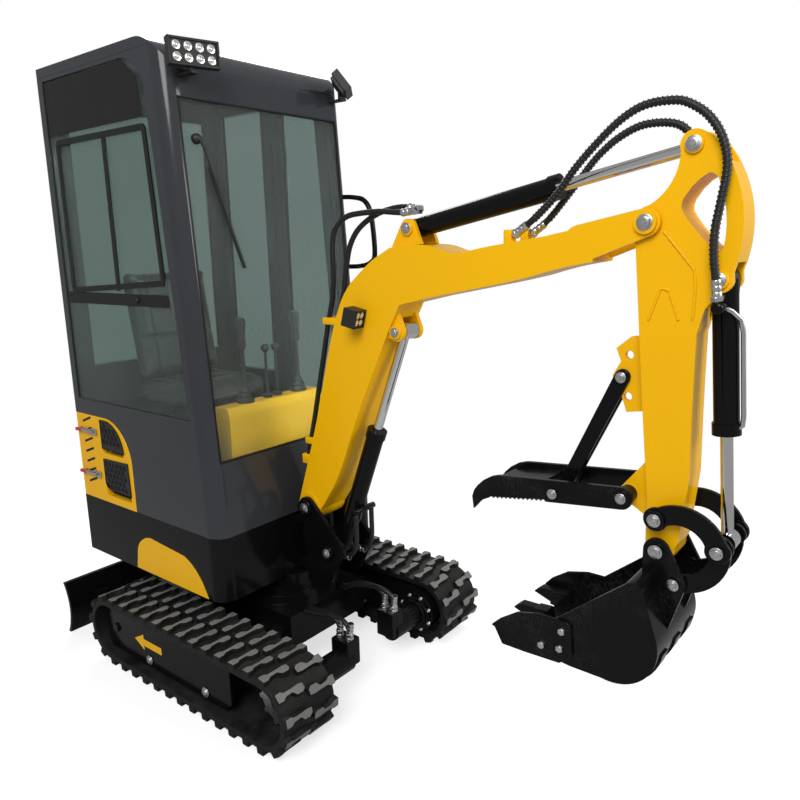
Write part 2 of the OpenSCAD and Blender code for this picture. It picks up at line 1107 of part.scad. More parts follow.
module bucket() {
  hb = bucket_w / 2;
  color(black) {
    difference() {
      slab(-hb, hb)
        bowl();
      slab(-hb + 10, hb - 10)
        bowl_inside();
    }
    both()
      slab(64, 74)
        difference() {
          union() {
            link(D, 34, C, 30);
            polygon([D + [-33, 6], D + [-30, -90], bd(-2, -150), bd(40, -202), C + [30, 0], C]);
          }
          bowl_inside();
        }
  }
  color(steel) {
    rod_y(D, 17, -82, 82);
    both() {
      rod_y(C, 15, 52, 82);
      rod_y(D, 24, 74, 77);
    }
  }
}

module bucket_edge() {
  hb = bucket_w / 2;
  color(black) {
    for (y = [-hb + 24, 0, hb - 24])
      slab(y - 22, y + 22)
        polygon([bd(-350, -340), bd(-400, -352), bd(-441, -323), bd(-400, -318), bd(-352, -312), bd(-352, -322)]);
    both()
      slab(hb, hb + 10)
        polygon([bd(-350, -340), bd(-404, -351), bd(-339, -208), bd(-272, -158), bd(-198, -251), bd(-187, -306)]);
  }
}

lower_frame();
track_frames();
track_right();
track_left();
sprockets();
idlers();
track_rollers();
travel_motors();
slew_ring();
blade();
blade_barrel();
blade_rod();
platform();
engine_block();
cab_floor();
cab_right_panel();
cab_left_panel();
cab_front_frame();
cab_rear_panel();
cab_roof();
windscreen();
right_window();
left_window();
rear_window();
engine_cover();
side_grilles();
engine_door();
cab_door();
door_glass();
seat();
control_levers();
work_lamps();
grab_handle();
hinge_brackets();
swing_post();
boom();
boom_lamp();
boom_barrel();
boom_rod();
arm();
thumb();
thumb_strut();
arm_barrel();
arm_rod();
bucket_barrel();
bucket_rod();
rocker();
bucket_link();
bucket();
bucket_edge();
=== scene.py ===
# %% [markdown]
# Mini excavator, dressed for its picture.
# The machine's solids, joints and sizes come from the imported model. This lesson adds what those solids do not
# hold: paint, rubber, glass, rounded edges, finer plates, hoses, seals, bolts and a padded seat.
# Lengths are in metres, X points forward, Y to the operator's left and Z up.

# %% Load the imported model
import json
import math
import bpy
import bmesh
from mathutils import Matrix, Vector


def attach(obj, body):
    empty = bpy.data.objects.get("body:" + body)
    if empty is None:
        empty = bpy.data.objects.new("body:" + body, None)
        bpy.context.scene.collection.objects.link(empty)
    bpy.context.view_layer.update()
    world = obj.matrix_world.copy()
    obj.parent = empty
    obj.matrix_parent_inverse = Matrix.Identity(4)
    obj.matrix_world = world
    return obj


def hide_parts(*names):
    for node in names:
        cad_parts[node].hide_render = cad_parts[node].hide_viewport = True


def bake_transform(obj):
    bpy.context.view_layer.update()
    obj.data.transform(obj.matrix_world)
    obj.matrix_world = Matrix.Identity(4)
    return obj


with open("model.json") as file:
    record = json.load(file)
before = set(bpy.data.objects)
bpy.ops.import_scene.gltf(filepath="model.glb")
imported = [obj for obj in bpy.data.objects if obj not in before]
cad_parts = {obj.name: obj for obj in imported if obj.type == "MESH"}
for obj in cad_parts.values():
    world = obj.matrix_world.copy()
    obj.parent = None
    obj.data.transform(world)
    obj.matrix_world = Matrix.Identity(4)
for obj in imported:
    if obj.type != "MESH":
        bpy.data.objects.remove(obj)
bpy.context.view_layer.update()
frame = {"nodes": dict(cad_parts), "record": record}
record = frame["record"]
scene = bpy.context.scene
scene.view_settings.view_transform = "Standard"
body_of_node = {n: b for b, ns in record["behaviour"]["bodies"].items() for n in ns}
slot_of_node = {p["node"]: p["material_slot"] for p in record["subparts"]}

# %% [markdown]
# The photograph was taken from ahead and to the right of the machine, a little above its waist, with a wide
# lens. The place, turn and focal length were fitted to known corners of the machine, so the picture
# can be laid over the photograph. A camera looks along its own -Z, with X to the right and Y up.

# %% Camera
view_yaw, view_pitch, view_roll = (math.radians(a) for a in (128.76925, -12.08331, -1.34947))
ahead = Vector((math.cos(view_yaw) * math.cos(view_pitch), math.sin(view_yaw) * math.cos(view_pitch),
                math.sin(view_pitch)))
level = ahead.cross(Vector((0, 0, 1))).normalized()
rise = level.cross(ahead)
right = math.cos(view_roll) * level + math.sin(view_roll) * rise
up = -math.sin(view_roll) * level + math.cos(view_roll) * rise
eye = bpy.data.cameras.new("photo_camera")
eye.sensor_width = 36.0
eye.lens = 729.53795 * 36.0 / 800.0
eye_object = bpy.data.objects.new("photo_camera", eye)
turn = Matrix((right, up, -ahead)).transposed().to_4x4()
eye_object.matrix_world = Matrix.Translation((2.09162, -1.83831, 1.59108)) @ turn
scene.collection.objects.link(eye_object)
scene.camera = eye_object
print("lens", round(eye.lens, 2), "mm")

# %% [markdown]
# Hydraulic hoses are thick rubber tubes that hold a smooth arc between two fittings. The two that feed the
# arm stand up in free loops over the elbow. A hose could be drawn by hand, but a curve through the route's
# points with a round bevel gives an even tube, which is then turned into a mesh. A narrow coil wound round each
# loop is the guard against chafing. The two materials are made empty here and get their finish with the others.

# %% Hose helpers
def mm(*v):
    return Vector(v) / 1000.0


def on_curve(p, i, t):
    a, b, c, d = p[max(i - 1, 0)], p[i], p[i + 1], p[min(i + 2, len(p) - 1)]
    return (2 * b + (c - a) * t + (2 * a - 5 * b + 4 * c - d) * t ** 2 + (3 * b - a - 3 * c + d) * t ** 3) / 2


def smooth_path(route, k):
    points = [mm(*r) for r in route]
    return [on_curve(points, i, j / k) for i in range(len(points) - 1) for j in range(k)] + [points[-1]]


def path_length(path):
    return sum((b - a).length for a, b in zip(path, path[1:]))


def tube_into(bm, path, radius, sides=12, wave=0.0, closed=False):
    line = bpy.data.curves.new("line", "CURVE")
    line.dimensions = "3D"
    line.bevel_depth = radius
    line.bevel_resolution = max(0, sides // 2 - 2)
    line.use_fill_caps = not closed
    spline = line.splines.new("POLY")
    spline.use_cyclic_u = closed
    spline.points.add(len(path) - 1)
    for i, (point, place) in enumerate(zip(spline.points, path)):
        point.co = (*place, 1.0)
        point.radius = 1.0 + wave * math.sin(i * 2.1)
    holder = bpy.data.objects.new("line", line)
    mesh = bpy.data.meshes.new_from_object(holder)
    bm.from_mesh(mesh)
    bpy.data.objects.remove(holder)
    bpy.data.curves.remove(line)
    bpy.data.meshes.remove(mesh)
    bmesh.ops.remove_doubles(bm, verts=bm.verts, dist=1e-6)


def coil_path(path, radius, pitch, per_turn=10):
    side = Vector((0, 1, 0))
    points, run = [], 0.0
    step = pitch / per_turn
    for a, b in zip(path, path[1:]):
        along = (b - a).normalized()
        first = side.cross(along).normalized()
        second = along.cross(first)
        length = (b - a).length
        while run < length:
            turn = 2 * math.pi * len(points) / per_turn
            points.append(a + along * run + radius * (math.cos(turn) * first + math.sin(turn) * second))
            run += step
        run -= length
    return points


def plain_piece(name, bm, material):
    mesh = bpy.data.meshes.new(name)
    bm.to_mesh(mesh)
    bm.free()
    mesh.materials.append(material)
    mesh.shade_smooth()
    piece = bpy.data.objects.new(name, mesh)
    scene.collection.objects.link(piece)
    return piece


hose_radius = 0.009
guard_pitch, guard_wire = 0.0105, 0.0018
early = {name: bpy.data.materials.new(name) for name in ("hose_rubber", "guard_plastic")}
print("hose diameter", 2 * hose_radius)

# %% [markdown]
# Both loops start at the blocks on the boom. The outer one goes round to the bucket cylinder and the inner
# one to the arm's own port.

# %% Hose loops over the elbow
outer_route = [(1067, -46, 1608), (1130, -54, 1648), (1196, -60, 1705), (1244, -62, 1763), (1298, -62, 1817),
               (1360, -62, 1868), (1419, -62, 1895), (1486, -62, 1897), (1524, -62, 1885), (1565, -64, 1855),
               (1595, -66, 1812), (1611, -68, 1764), (1612, -70, 1719), (1605, -74, 1662), (1598, -78, 1603),
               (1600, -80, 1545), (1606, -78.5, 1500), (1611, -71, 1446)]
inner_route = [(1067, 46, 1608), (1120, 52, 1650), (1180, 58, 1720), (1237, 62, 1789), (1272, 62, 1821),
               (1309, 62, 1846), (1360, 62, 1867), (1412, 62, 1870), (1461, 62, 1859), (1491, 62, 1829),
               (1503, 62, 1788), (1504, 62, 1740.4)]


def hose_loop(name, route):
    path = smooth_path(route, 6)
    bm = bmesh.new()
    tube_into(bm, path, hose_radius, 14)
    hose = plain_piece(name, bm, early["hose_rubber"])
    bm = bmesh.new()
    tube_into(bm, coil_path(path[6:-8], hose_radius + guard_wire / 3, guard_pitch), guard_wire, 6)
    guard = plain_piece(name + "_guard", bm, early["guard_plastic"])
    for piece in (hose, guard):
        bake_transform(piece)
    return round(path_length(path), 3)


print("loops", hose_loop("outer_hose_loop", outer_route), hose_loop("inner_hose_loop", inner_route))

# %% [markdown]
# The studio is a pale floor under an even white world, with three large soft lamps. Large lamps give soft
# shadows and long, calm highlights on the gloss paint. The world is white where the camera sees it, also
# through a pane, and lights the machine at a lower level, so that colours stay as they are written. The floor
# keeps the machine's shadow and thins out into the white world a few metres away, so there is no horizon.

# %% Studio
def lamp(name, place, aim, size, watts):
    data = bpy.data.lights.new(name, "AREA")
    data.shape = "DISK"
    data.size = size
    data.energy = watts
    obj = bpy.data.objects.new(name, data)
    obj.location = place
    obj.rotation_euler = (Vector(aim) - Vector(place)).to_track_quat("-Z", "Y").to_euler()
    scene.collection.objects.link(obj)
    return obj


waist, shoulder = (0.3, 0.0, 0.9), (0.0, 0.0, 1.2)
lamp("key_lamp", (2.6, -4.2, 4.6), waist, 3.2, 240)
lamp("front_lamp", (5.2, 1.4, 3.0), waist, 2.6, 122)
lamp("back_lamp", (-3.6, 3.0, 4.2), shoulder, 2.6, 116)

studio = bpy.data.worlds.new("studio_white")
studio.use_nodes = True
scene.world = studio
wt = studio.node_tree
wt.nodes.clear()
rays = wt.nodes.new("ShaderNodeLightPath")
seen = wt.nodes.new("ShaderNodeMath")
seen.operation = "MAXIMUM"
dim = wt.nodes.new("ShaderNodeBackground")
dim.inputs["Strength"].default_value = 0.4
bright = wt.nodes.new("ShaderNodeBackground")
bright.inputs["Strength"].default_value = 1.0
blend = wt.nodes.new("ShaderNodeMixShader")
out = wt.nodes.new("ShaderNodeOutputWorld")
for back in (dim, bright):
    back.inputs["Color"].default_value = (1, 1, 1, 1)
wt.links.new(rays.outputs["Is Camera Ray"], seen.inputs[0])
wt.links.new(rays.outputs["Is Transmission Ray"], seen.inputs[1])
wt.links.new(seen.outputs[0], blend.inputs["Fac"])
wt.links.new(dim.outputs[0], blend.inputs[1])
wt.links.new(bright.outputs[0], blend.inputs[2])
wt.links.new(blend.outputs[0], out.inputs["Surface"])

bm = bmesh.new()
bmesh.ops.create_circle(bm, cap_ends=True, radius=8.0, segments=96)
mesh = bpy.data.meshes.new("studio_floor")
bm.to_mesh(mesh)
bm.free()
floor = bpy.data.objects.new("studio_floor", mesh)
floor.location = (0, 0, -0.001)
scene.collection.objects.link(floor)
pale = bpy.data.materials.new("pale_floor")
pale.use_nodes = True
ft = pale.node_tree
ground = ft.nodes["Principled BSDF"]
ground.inputs["Base Color"].default_value = (0.50, 0.50, 0.50, 1)
ground.inputs["Roughness"].default_value = 0.9
ground.inputs["Specular IOR Level"].default_value = 0.1
glow = ft.nodes.new("ShaderNodeEmission")
lift = ft.nodes.new("ShaderNodeAddShader")
gone = ft.nodes.new("ShaderNodeBsdfTransparent")
fade = ft.nodes.new("ShaderNodeMixShader")
reach = ft.nodes.new("ShaderNodeVectorMath")
reach.operation = "LENGTH"
edge = ft.nodes.new("ShaderNodeMapRange")
edge.interpolation_type = "SMOOTHSTEP"
edge.inputs["From Min"].default_value = 1.5
edge.inputs["From Max"].default_value = 3.6
level_up = ft.nodes.new("ShaderNodeMath")
level_up.operation = "MULTIPLY"
level_up.inputs[1].default_value = 0.66
ft.links.new(ft.nodes.new("ShaderNodeLightPath").outputs["Is Camera Ray"], level_up.inputs[0])
ft.links.new(level_up.outputs[0], glow.inputs["Strength"])
ft.links.new(ft.nodes.new("ShaderNodeTexCoord").outputs["Object"], reach.inputs[0])
ft.links.new(reach.outputs["Value"], edge.inputs["Value"])
ft.links.new(edge.outputs["Result"], fade.inputs["Fac"])
ft.links.new(ground.outputs[0], lift.inputs[0])
ft.links.new(glow.outputs[0], lift.inputs[1])
ft.links.new(lift.outputs[0], fade.inputs[1])
ft.links.new(gone.outputs[0], fade.inputs[2])
ft.links.new(fade.outputs[0], ft.nodes["Material Output"].inputs["Surface"])
floor.data.materials.append(pale)

# %% [markdown]
# Three effects change a finish over its surface, and each is a node group built once.
# Surface life: a slow cloud that shifts colour and gloss, and a fine grain for orange peel or cast texture.
# Scuffs: thin crossing scratches, strong where work rubs and faint elsewhere.
# Settled dust: a pale film on faces that look up, broken up by noise.

# %% Shared effect groups
def new_group(name, inputs, outputs):
    tree = bpy.data.node_groups.new(name, "ShaderNodeTree")
    for label, value in inputs:
        socket = tree.interface.new_socket(label, in_out="INPUT", socket_type="NodeSocketFloat")
        socket.default_value = value
    for label in outputs:
        tree.interface.new_socket(label, in_out="OUTPUT", socket_type="NodeSocketFloat")
    return tree, tree.nodes.new("NodeGroupInput"), tree.nodes.new("NodeGroupOutput")


def noise_in(tree, vector, scale, detail, rough=0.55):
    node = tree.nodes.new("ShaderNodeTexNoise")
    node.inputs["Detail"].default_value = detail
    node.inputs["Roughness"].default_value = rough
    tree.links.new(vector, node.inputs["Vector"])
    if isinstance(scale, (int, float)):
        node.inputs["Scale"].default_value = scale
    else:
        tree.links.new(scale, node.inputs["Scale"])
    return node.outputs["Fac"]


def ramp_in(tree, value, low, high):
    node = tree.nodes.new("ShaderNodeMapRange")
    node.inputs["From Min"].default_value = low
    node.inputs["From Max"].default_value = high
    tree.links.new(value, node.inputs["Value"])
    return node.outputs["Result"]


def math_in(tree, operation, a, b):
    node = tree.nodes.new("ShaderNodeMath")
    node.operation = operation
    for socket, value in zip(node.inputs, (a, b)):
        if isinstance(value, (int, float)):
            socket.default_value = value
        else:
            tree.links.new(value, socket)
    return node.outputs[0]


life, gin, gout = new_group("surface_life", [("Cloud Scale", 3.0), ("Grain Scale", 300.0)],
                            ["Cloud", "Grain"])
where = life.nodes.new("ShaderNodeTexCoord").outputs["Object"]
life.links.new(noise_in(life, where, gin.outputs["Cloud Scale"], 4.0), gout.inputs["Cloud"])
life.links.new(noise_in(life, where, gin.outputs["Grain Scale"], 2.0), gout.inputs["Grain"])

scuff, gin, gout = new_group("scuffs", [("Scale", 14.0), ("Amount", 0.5)], ["Scratch"])
where = scuff.nodes.new("ShaderNodeTexCoord").outputs["Object"]
lines = None
for spin, stretch in (((0.4, 0.9, 0.2), (1.0, 9.0, 1.0)), ((1.2, 0.3, 0.8), (8.0, 1.0, 1.0))):
    mapping = scuff.nodes.new("ShaderNodeMapping")
    mapping.inputs["Rotation"].default_value = spin
    mapping.inputs["Scale"].default_value = stretch
    scuff.links.new(where, mapping.inputs["Vector"])
    streak = noise_in(scuff, mapping.outputs[0], gin.outputs["Scale"], 6.0, 0.7)
    away = math_in(scuff, "ABSOLUTE", math_in(scuff, "SUBTRACT", streak, 0.5), 0.0)
    thin = ramp_in(scuff, away, 0.022, 0.0)
    lines = thin if lines is None else math_in(scuff, "MAXIMUM", lines, thin)
patch = ramp_in(scuff, noise_in(scuff, where, 5.0, 3.0), 0.45, 0.65)
scuff.links.new(math_in(scuff, "MULTIPLY", math_in(scuff, "MULTIPLY", lines, patch), gin.outputs["Amount"]),
                gout.inputs["Scratch"])

dust, gin, gout = new_group("settled_dust", [("Amount", 0.3)], ["Film"])
where = dust.nodes.new("ShaderNodeTexCoord").outputs["Object"]
facing = dust.nodes.new("ShaderNodeSeparateXYZ")
dust.links.new(dust.nodes.new("ShaderNodeNewGeometry").outputs["Normal"], facing.inputs[0])
looks_up = ramp_in(dust, facing.outputs["Z"], 0.3, 1.0)
broken = ramp_in(dust, noise_in(dust, where, 9.0, 5.0, 0.65), 0.35, 0.75)
dust.links.new(math_in(dust, "MULTIPLY", math_in(dust, "MULTIPLY", looks_up, broken), gin.outputs["Amount"]),
               gout.inputs["Film"])
print("groups", [g.name for g in bpy.data.node_groups])

# %% [markdown]
# Every finish is one Principled material. The groups change its colour, roughness and fine relief over the
# surface, and what is the same all over, such as the clear coat, is set on the shader itself. A pane also lets
# the lamps' own light straight through in its tint, so that the inside of the cab is lit.

# %% Finishes
def place_group(tree, group, **values):
    node = tree.nodes.new("ShaderNodeGroup")
    node.node_tree = group
    for label, value in values.items():
        node.inputs[label.replace("_", " ")].default_value = value
    return node


def mix_colour(tree, factor, a, b):
    node = tree.nodes.new("ShaderNodeMix")
    node.data_type = "RGBA"
    tree.links.new(factor, node.inputs["Factor"])
    for socket, value in ((node.inputs[6], a), (node.inputs[7], b)):
        if isinstance(value, tuple):
            socket.default_value = (*value, 1.0)
        else:
            tree.links.new(value, socket)
    return node.outputs[2]


def finish(name, colour, shade, rough, cloud=3.0, grain=300.0, relief=0.02, metal=0.0, coat=0.0, scratch=0.0,
           bare=(0.35, 0.35, 0.36), film=0.0, spec=0.5, film_colour=(0.42, 0.38, 0.32)):
    material = early.get(name) or bpy.data.materials.new(name)
    material.use_nodes = True
    tree = material.node_tree
    shader = tree.nodes["Principled BSDF"]
    skin = place_group(tree, life, Cloud_Scale=cloud, Grain_Scale=grain)
    base = mix_colour(tree, skin.outputs["Cloud"], colour, shade)
    if scratch:
        rub = place_group(tree, scuff, Scale=14.0, Amount=scratch)
        base = mix_colour(tree, rub.outputs["Scratch"], base, bare)
    if film:
        settled = place_group(tree, dust, Amount=film)
        base = mix_colour(tree, settled.outputs["Film"], base, film_colour)
    tree.links.new(base, shader.inputs["Base Color"])
    gloss = tree.nodes.new("ShaderNodeMapRange")
    gloss.inputs["From Min"].default_value = 0.3
    gloss.inputs["From Max"].default_value = 0.7
    gloss.inputs["To Min"].default_value = rough[0]
    gloss.inputs["To Max"].default_value = rough[1]
    tree.links.new(skin.outputs["Cloud"], gloss.inputs["Value"])
    tree.links.new(gloss.outputs["Result"], shader.inputs["Roughness"])
    bump = tree.nodes.new("ShaderNodeBump")
    bump.inputs["Strength"].default_value = relief
    bump.inputs["Distance"].default_value = 0.002
    tree.links.new(skin.outputs["Grain"], bump.inputs["Height"])
    tree.links.new(bump.outputs["Normal"], shader.inputs["Normal"])
    shader.inputs["Metallic"].default_value = metal
    shader.inputs["Specular IOR Level"].default_value = spec
    shader.inputs["Coat Weight"].default_value = coat
    shader.inputs["Coat Roughness"].default_value = 0.06
    return material


yellow_paint = finish("yellow_paint", (0.90, 0.48, 0.003), (0.85, 0.44, 0.003), (0.20, 0.28), coat=0.08,
                      relief=0.05, grain=420.0, spec=0.12)
grey_paint = finish("grey_paint", (0.034, 0.037, 0.043), (0.028, 0.030, 0.035), (0.10, 0.16), coat=0.15,
                    relief=0.04, grain=420.0, spec=0.25)
black_paint = finish("black_paint", (0.0030, 0.0030, 0.0034), (0.005, 0.005, 0.0055), (0.10, 0.17), coat=0.04,
                     relief=0.05, grain=380.0, film=0.01, spec=0.12)
worn_black = finish("worn_black_paint", (0.0022, 0.0022, 0.0026), (0.0045, 0.0045, 0.005), (0.12, 0.22),
                    coat=0.04, relief=0.08, grain=260.0, scratch=0.3, bare=(0.07, 0.07, 0.074), film=0.01,
                    spec=0.12)
track_rubber = finish("track_rubber", (0.0055, 0.0055, 0.0055), (0.012, 0.0118, 0.0115), (0.45, 0.65),
                      cloud=9.0, grain=240.0, relief=0.22, film=0.10, spec=0.2, film_colour=(0.25, 0.25, 0.24))
lug_rubber = finish("lug_rubber", (0.13, 0.13, 0.125), (0.21, 0.208, 0.198), (0.55, 0.75), cloud=12.0,
                    grain=260.0, relief=0.25, film=0.12, spec=0.2, film_colour=(0.25, 0.25, 0.24))
bright_steel = finish("bright_steel", (0.60, 0.60, 0.61), (0.44, 0.44, 0.45), (0.22, 0.36), cloud=22.0,
                      metal=1.0, relief=0.05)
polished_rod = finish("polished_rod", (0.72, 0.72, 0.73), (0.62, 0.62, 0.63), (0.06, 0.12), cloud=6.0,
                      metal=1.0, relief=0.01)
moulded_plastic = finish("moulded_plastic", (0.012, 0.012, 0.0125), (0.018, 0.018, 0.0185), (0.42, 0.55),
                         grain=700.0, relief=0.2, spec=0.35)
cast_iron = finish("cast_iron", (0.05, 0.05, 0.052), (0.08, 0.08, 0.085), (0.5, 0.7), grain=160.0, relief=0.3)
seat_vinyl = finish("seat_vinyl", (0.016, 0.016, 0.017), (0.026, 0.026, 0.027), (0.36, 0.5), grain=520.0,
                    relief=0.3, spec=0.4)
hose_rubber = finish("hose_rubber", (0.008, 0.008, 0.0085), (0.014, 0.014, 0.0145), (0.36, 0.5), grain=900.0,
                     relief=0.12, spec=0.35)
finish("guard_plastic", (0.010, 0.010, 0.0105), (0.018, 0.018, 0.0185), (0.25, 0.36), grain=600.0, relief=0.05)
gasket_rubber = finish("gasket_rubber", (0.006, 0.006, 0.0065), (0.010, 0.010, 0.0105), (0.45, 0.6),
                       grain=500.0, relief=0.1, spec=0.3)
red_grip = finish("red_grip", (0.62, 0.022, 0.018), (0.50, 0.016, 0.014), (0.34, 0.46), grain=500.0,
                  relief=0.06)
lamp_mirror = finish("lamp_mirror", (0.80, 0.80, 0.78), (0.70, 0.70, 0.69), (0.08, 0.16), cloud=30.0,
                     metal=0.8, relief=0.02)


def pane(name, tint, clear):
    material = bpy.data.materials.new(name)
    material.use_nodes = True
    tree = material.node_tree
    shader = tree.nodes["Principled BSDF"]
    skin = place_group(tree, life, Cloud_Scale=2.0, Grain_Scale=60.0)
    tree.links.new(mix_colour(tree, skin.outputs["Cloud"], tint, tuple(0.85 * c for c in tint)),
                   shader.inputs["Base Color"])
    shader.inputs["Roughness"].default_value = 0.03
    shader.inputs["IOR"].default_value = 1.12
    shader.inputs["Transmission Weight"].default_value = clear
    through = tree.nodes.new("ShaderNodeBsdfTransparent")
    through.inputs["Color"].default_value = (*tint, 1.0)
    pick = tree.nodes.new("ShaderNodeMixShader")
    tree.links.new(tree.nodes.new("ShaderNodeLightPath").outputs["Is Shadow Ray"], pick.inputs["Fac"])
    tree.links.new(shader.outputs[0], pick.inputs[1])
    tree.links.new(through.outputs[0], pick.inputs[2])
    tree.links.new(pick.outputs[0], tree.nodes["Material Output"].inputs["Surface"])
    return material


tinted_glass = pane("tinted_glass", (0.66, 0.75, 0.71), 0.97)
clear_glass = pane("clear_glass", (0.80, 0.87, 0.84), 0.97)
# painted shade: the far panes' glass is tinted far darker than the near panes, for the dim cab seen through
# them
painted_shade_glass = pane("painted_shade_glass", (0.14, 0.19, 0.18), 0.95)
finish_of_slot = {"yellow_paint": yellow_paint, "grey_paint": grey_paint, "black_paint": black_paint,
                  "rubber": track_rubber, "steel": bright_steel, "chrome_rod": polished_rod,
                  "tinted_glass": tinted_glass, "black_plastic": moulded_plastic, "seat_cover": seat_vinyl,
                  "engine_metal": cast_iron}
print("finishes", len(bpy.data.materials))

# %% [markdown]
# Real plates, castings and pressings have no razor edges: each edge is a small round that catches light.
# A copy of a CAD node's mesh is merged, its flat faces are joined, and a Bevel modifier rounds every edge that
# turns more than 30 degrees, with normals weighted so that large faces stay flat. The copy then stands for the
# node, on the same body. The boom is one long sweep, so the shallow corners along it are eased into curves.
# The pins' places, seen from the side in millimetres, serve the later cells: F and G on the swing post, H and E
# on the boom, A at the elbow, R and T for the cylinders on the arm, D, P, B and C round the bucket, and U, V
# and W on the thumb.

# %% Rounded copies of the CAD solids
pins = {"F": (230, 655), "G": (333, 504), "H": (648, 1318), "E": (699, 1637), "A": (1435, 1628),
        "R": (1533, 1799), "T": (1607, 1492), "D": (1504, 806), "P": (1502, 896), "B": (1655, 846),
        "C": (1552, 728), "U": (1410, 932), "V": (1217, 907), "W": (1373, 1238)}
edge_width = {"boom": 0.004, "platform": 0.004, "engine_cover": 0.003, "cab_roof": 0.026,
              "cab_front_frame": 0.006, "cab_right_panel": 0.004}
# the left, rear and door panes take the darkened glass, painted shade for the cab's inside
panes = {"windscreen": clear_glass, "right_window": tinted_glass, "left_window": painted_shade_glass,
         "rear_window": painted_shade_glass, "door_glass": painted_shade_glass}
made_later = ("seat", "arm", "thumb", "rocker", "bucket_link", "swing_post", "bucket", "bucket_edge",
              "track_left", "track_right", "travel_motors", "side_grilles", "control_levers", "grab_handle",
              "work_lamps", "boom_lamp")


def keep_piece(name, bm, body, material, node=None):
    piece = plain_piece(name, bm, material)
    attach(piece, body)
    if node:
        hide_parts(node)
    return piece


def round_edges(piece, width, segments=2):
    edge = piece.modifiers.new("rounded_edges", "BEVEL")
    edge.limit_method = "ANGLE"
    edge.angle_limit = math.radians(30)
    edge.width = width
    edge.segments = segments
    edge.profile = 0.5
    edge.use_clamp_overlap = True
    flat = piece.modifiers.new("flat_faces", "WEIGHTED_NORMAL")
    flat.mode = "FACE_AREA"
    flat.weight = 100
    return piece


def ease_corners(bm):
    across = [e for e in bm.edges if len(e.link_faces) == 2 and e.calc_length() > 0.06
              and abs((e.verts[0].co - e.verts[1].co).normalized().y) > 0.999
              and 0.05 < e.calc_face_angle() < 0.7 and all(f.calc_area() > 0.004 for f in e.link_faces)]
    bmesh.ops.bevel(bm, geom=across, offset=34, offset_type="PERCENT", affect="EDGES", segments=5,
                    profile=0.5, material=-1, clamp_overlap=True)
    return len(across)


def softened(node):
    bm = bmesh.new()
    bm.from_mesh(frame["nodes"][node].data)
    bmesh.ops.remove_doubles(bm, verts=bm.verts, dist=2e-5)
    bmesh.ops.dissolve_limit(bm, angle_limit=math.radians(0.8), verts=bm.verts, edges=bm.edges)
    if node == "boom":
        print("eased corners", ease_corners(bm))
    slot = slot_of_node[node]
    paint = black_paint if node == "slew_ring" else finish_of_slot[slot]
    piece = keep_piece(node + "_rounded", bm, body_of_node[node], paint, node)
    return round_edges(piece, edge_width.get(node, 0.002), 4 if node == "cab_roof" else 2)


for node in frame["nodes"]:
    if node in panes:
        obj = frame["nodes"][node]
        obj.data.materials.clear()
        obj.data.materials.append(panes[node])
    elif node not in made_later:
        softened(node)

# %% [markdown]
# Small hardware repeats all over a machine, so each kind has one maker that adds to a shared mesh. Turned
# parts are a profile spun about their axis, hexagons are six-sided cones with a bevelled crown, and plates are
# an outline that is rounded, then extruded. Like pieces on one body share a mesh, which keeps the scene small.

# %% Makers of small hardware
def stand(place, axis):
    turn = Vector((0, 0, 1)).rotation_difference(Vector(axis))
    return Matrix.Translation(place) @ turn.to_matrix().to_4x4()


def lathe_into(bm, place, axis, profile, steps=20):
    seat = stand(place, axis)
    ring = [bm.verts.new(seat @ Vector((r, 0, h))) for r, h in profile]
    edges = [bm.edges.new(pair) for pair in zip(ring, ring[1:])]
    bmesh.ops.spin(bm, geom=ring + edges, cent=place, axis=axis, angle=2 * math.pi, steps=steps,
                   use_merge=True)


def hexagon_into(bm, place, axis, across, height):
    seat = stand(place, axis)
    radius = across / math.sqrt(3)
    made = bmesh.ops.create_cone(bm, cap_ends=True, segments=6, radius1=radius, radius2=radius, depth=height,
                                 matrix=seat @ Matrix.Translation((0, 0, height / 2)))
    back = seat.inverted()
    crown = {v for v in made["verts"] if (back @ v.co).z > 0.9 * height}
    edges = [e for e in {e for v in crown for e in v.link_edges} if all(v in crown for v in e.verts)]
    bmesh.ops.bevel(bm, geom=edges, offset=height * 0.22, affect="EDGES", segments=2, profile=0.5,
                    material=-1)


def block_into(bm, low, high, turn=None, rounding=0.002):
    low, high = Vector(low), Vector(high)
    shape = Matrix.Translation((low + high) / 2) @ Matrix.Diagonal((*(high - low), 1))
    made = bmesh.ops.create_cube(bm, size=1.0, matrix=(turn or Matrix.Identity(4)) @ shape)
    edges = list({e for v in made["verts"] for e in v.link_edges})
    bmesh.ops.bevel(bm, geom=edges, offset=rounding, affect="EDGES", segments=2, profile=0.5, material=-1)


def pour(bm, part):
    mesh = bpy.data.meshes.new("part")
    part.to_mesh(mesh)
    part.free()
    bm.from_mesh(mesh)
    bpy.data.meshes.remove(mesh)


def outline(corners, rounding):
    part = bmesh.new()
    part.faces.new([part.verts.new(c) for c in corners])
    if rounding:
        bmesh.ops.bevel(part, geom=part.verts[:], offset=rounding, affect="VERTICES", segments=5, profile=0.5,
                        material=-1)
    return part


def thicken(part, depth):
    made = bmesh.ops.extrude_face_region(part, geom=part.faces[:], use_keep_orig=True)
    bmesh.ops.translate(part, vec=depth, verts=[v for v in made["geom"] if isinstance(v, bmesh.types.BMVert)])
    bmesh.ops.recalc_face_normals(part, faces=part.faces[:])


def plate_into(bm, corners, depth, rounding=0.0):
    part = outline(corners, rounding)
    thicken(part, depth)
    pour(bm, part)


def band_into(bm, corners, width, depth, rounding=0.0):
    part = outline(corners, rounding)
    ring = set(bmesh.ops.inset_individual(part, faces=part.faces[:], thickness=width,
                                          use_even_offset=True)["faces"])
    bmesh.ops.delete(part, geom=[f for f in part.faces if f not in ring], context="FACES_ONLY")
    thicken(part, depth)
    pour(bm, part)


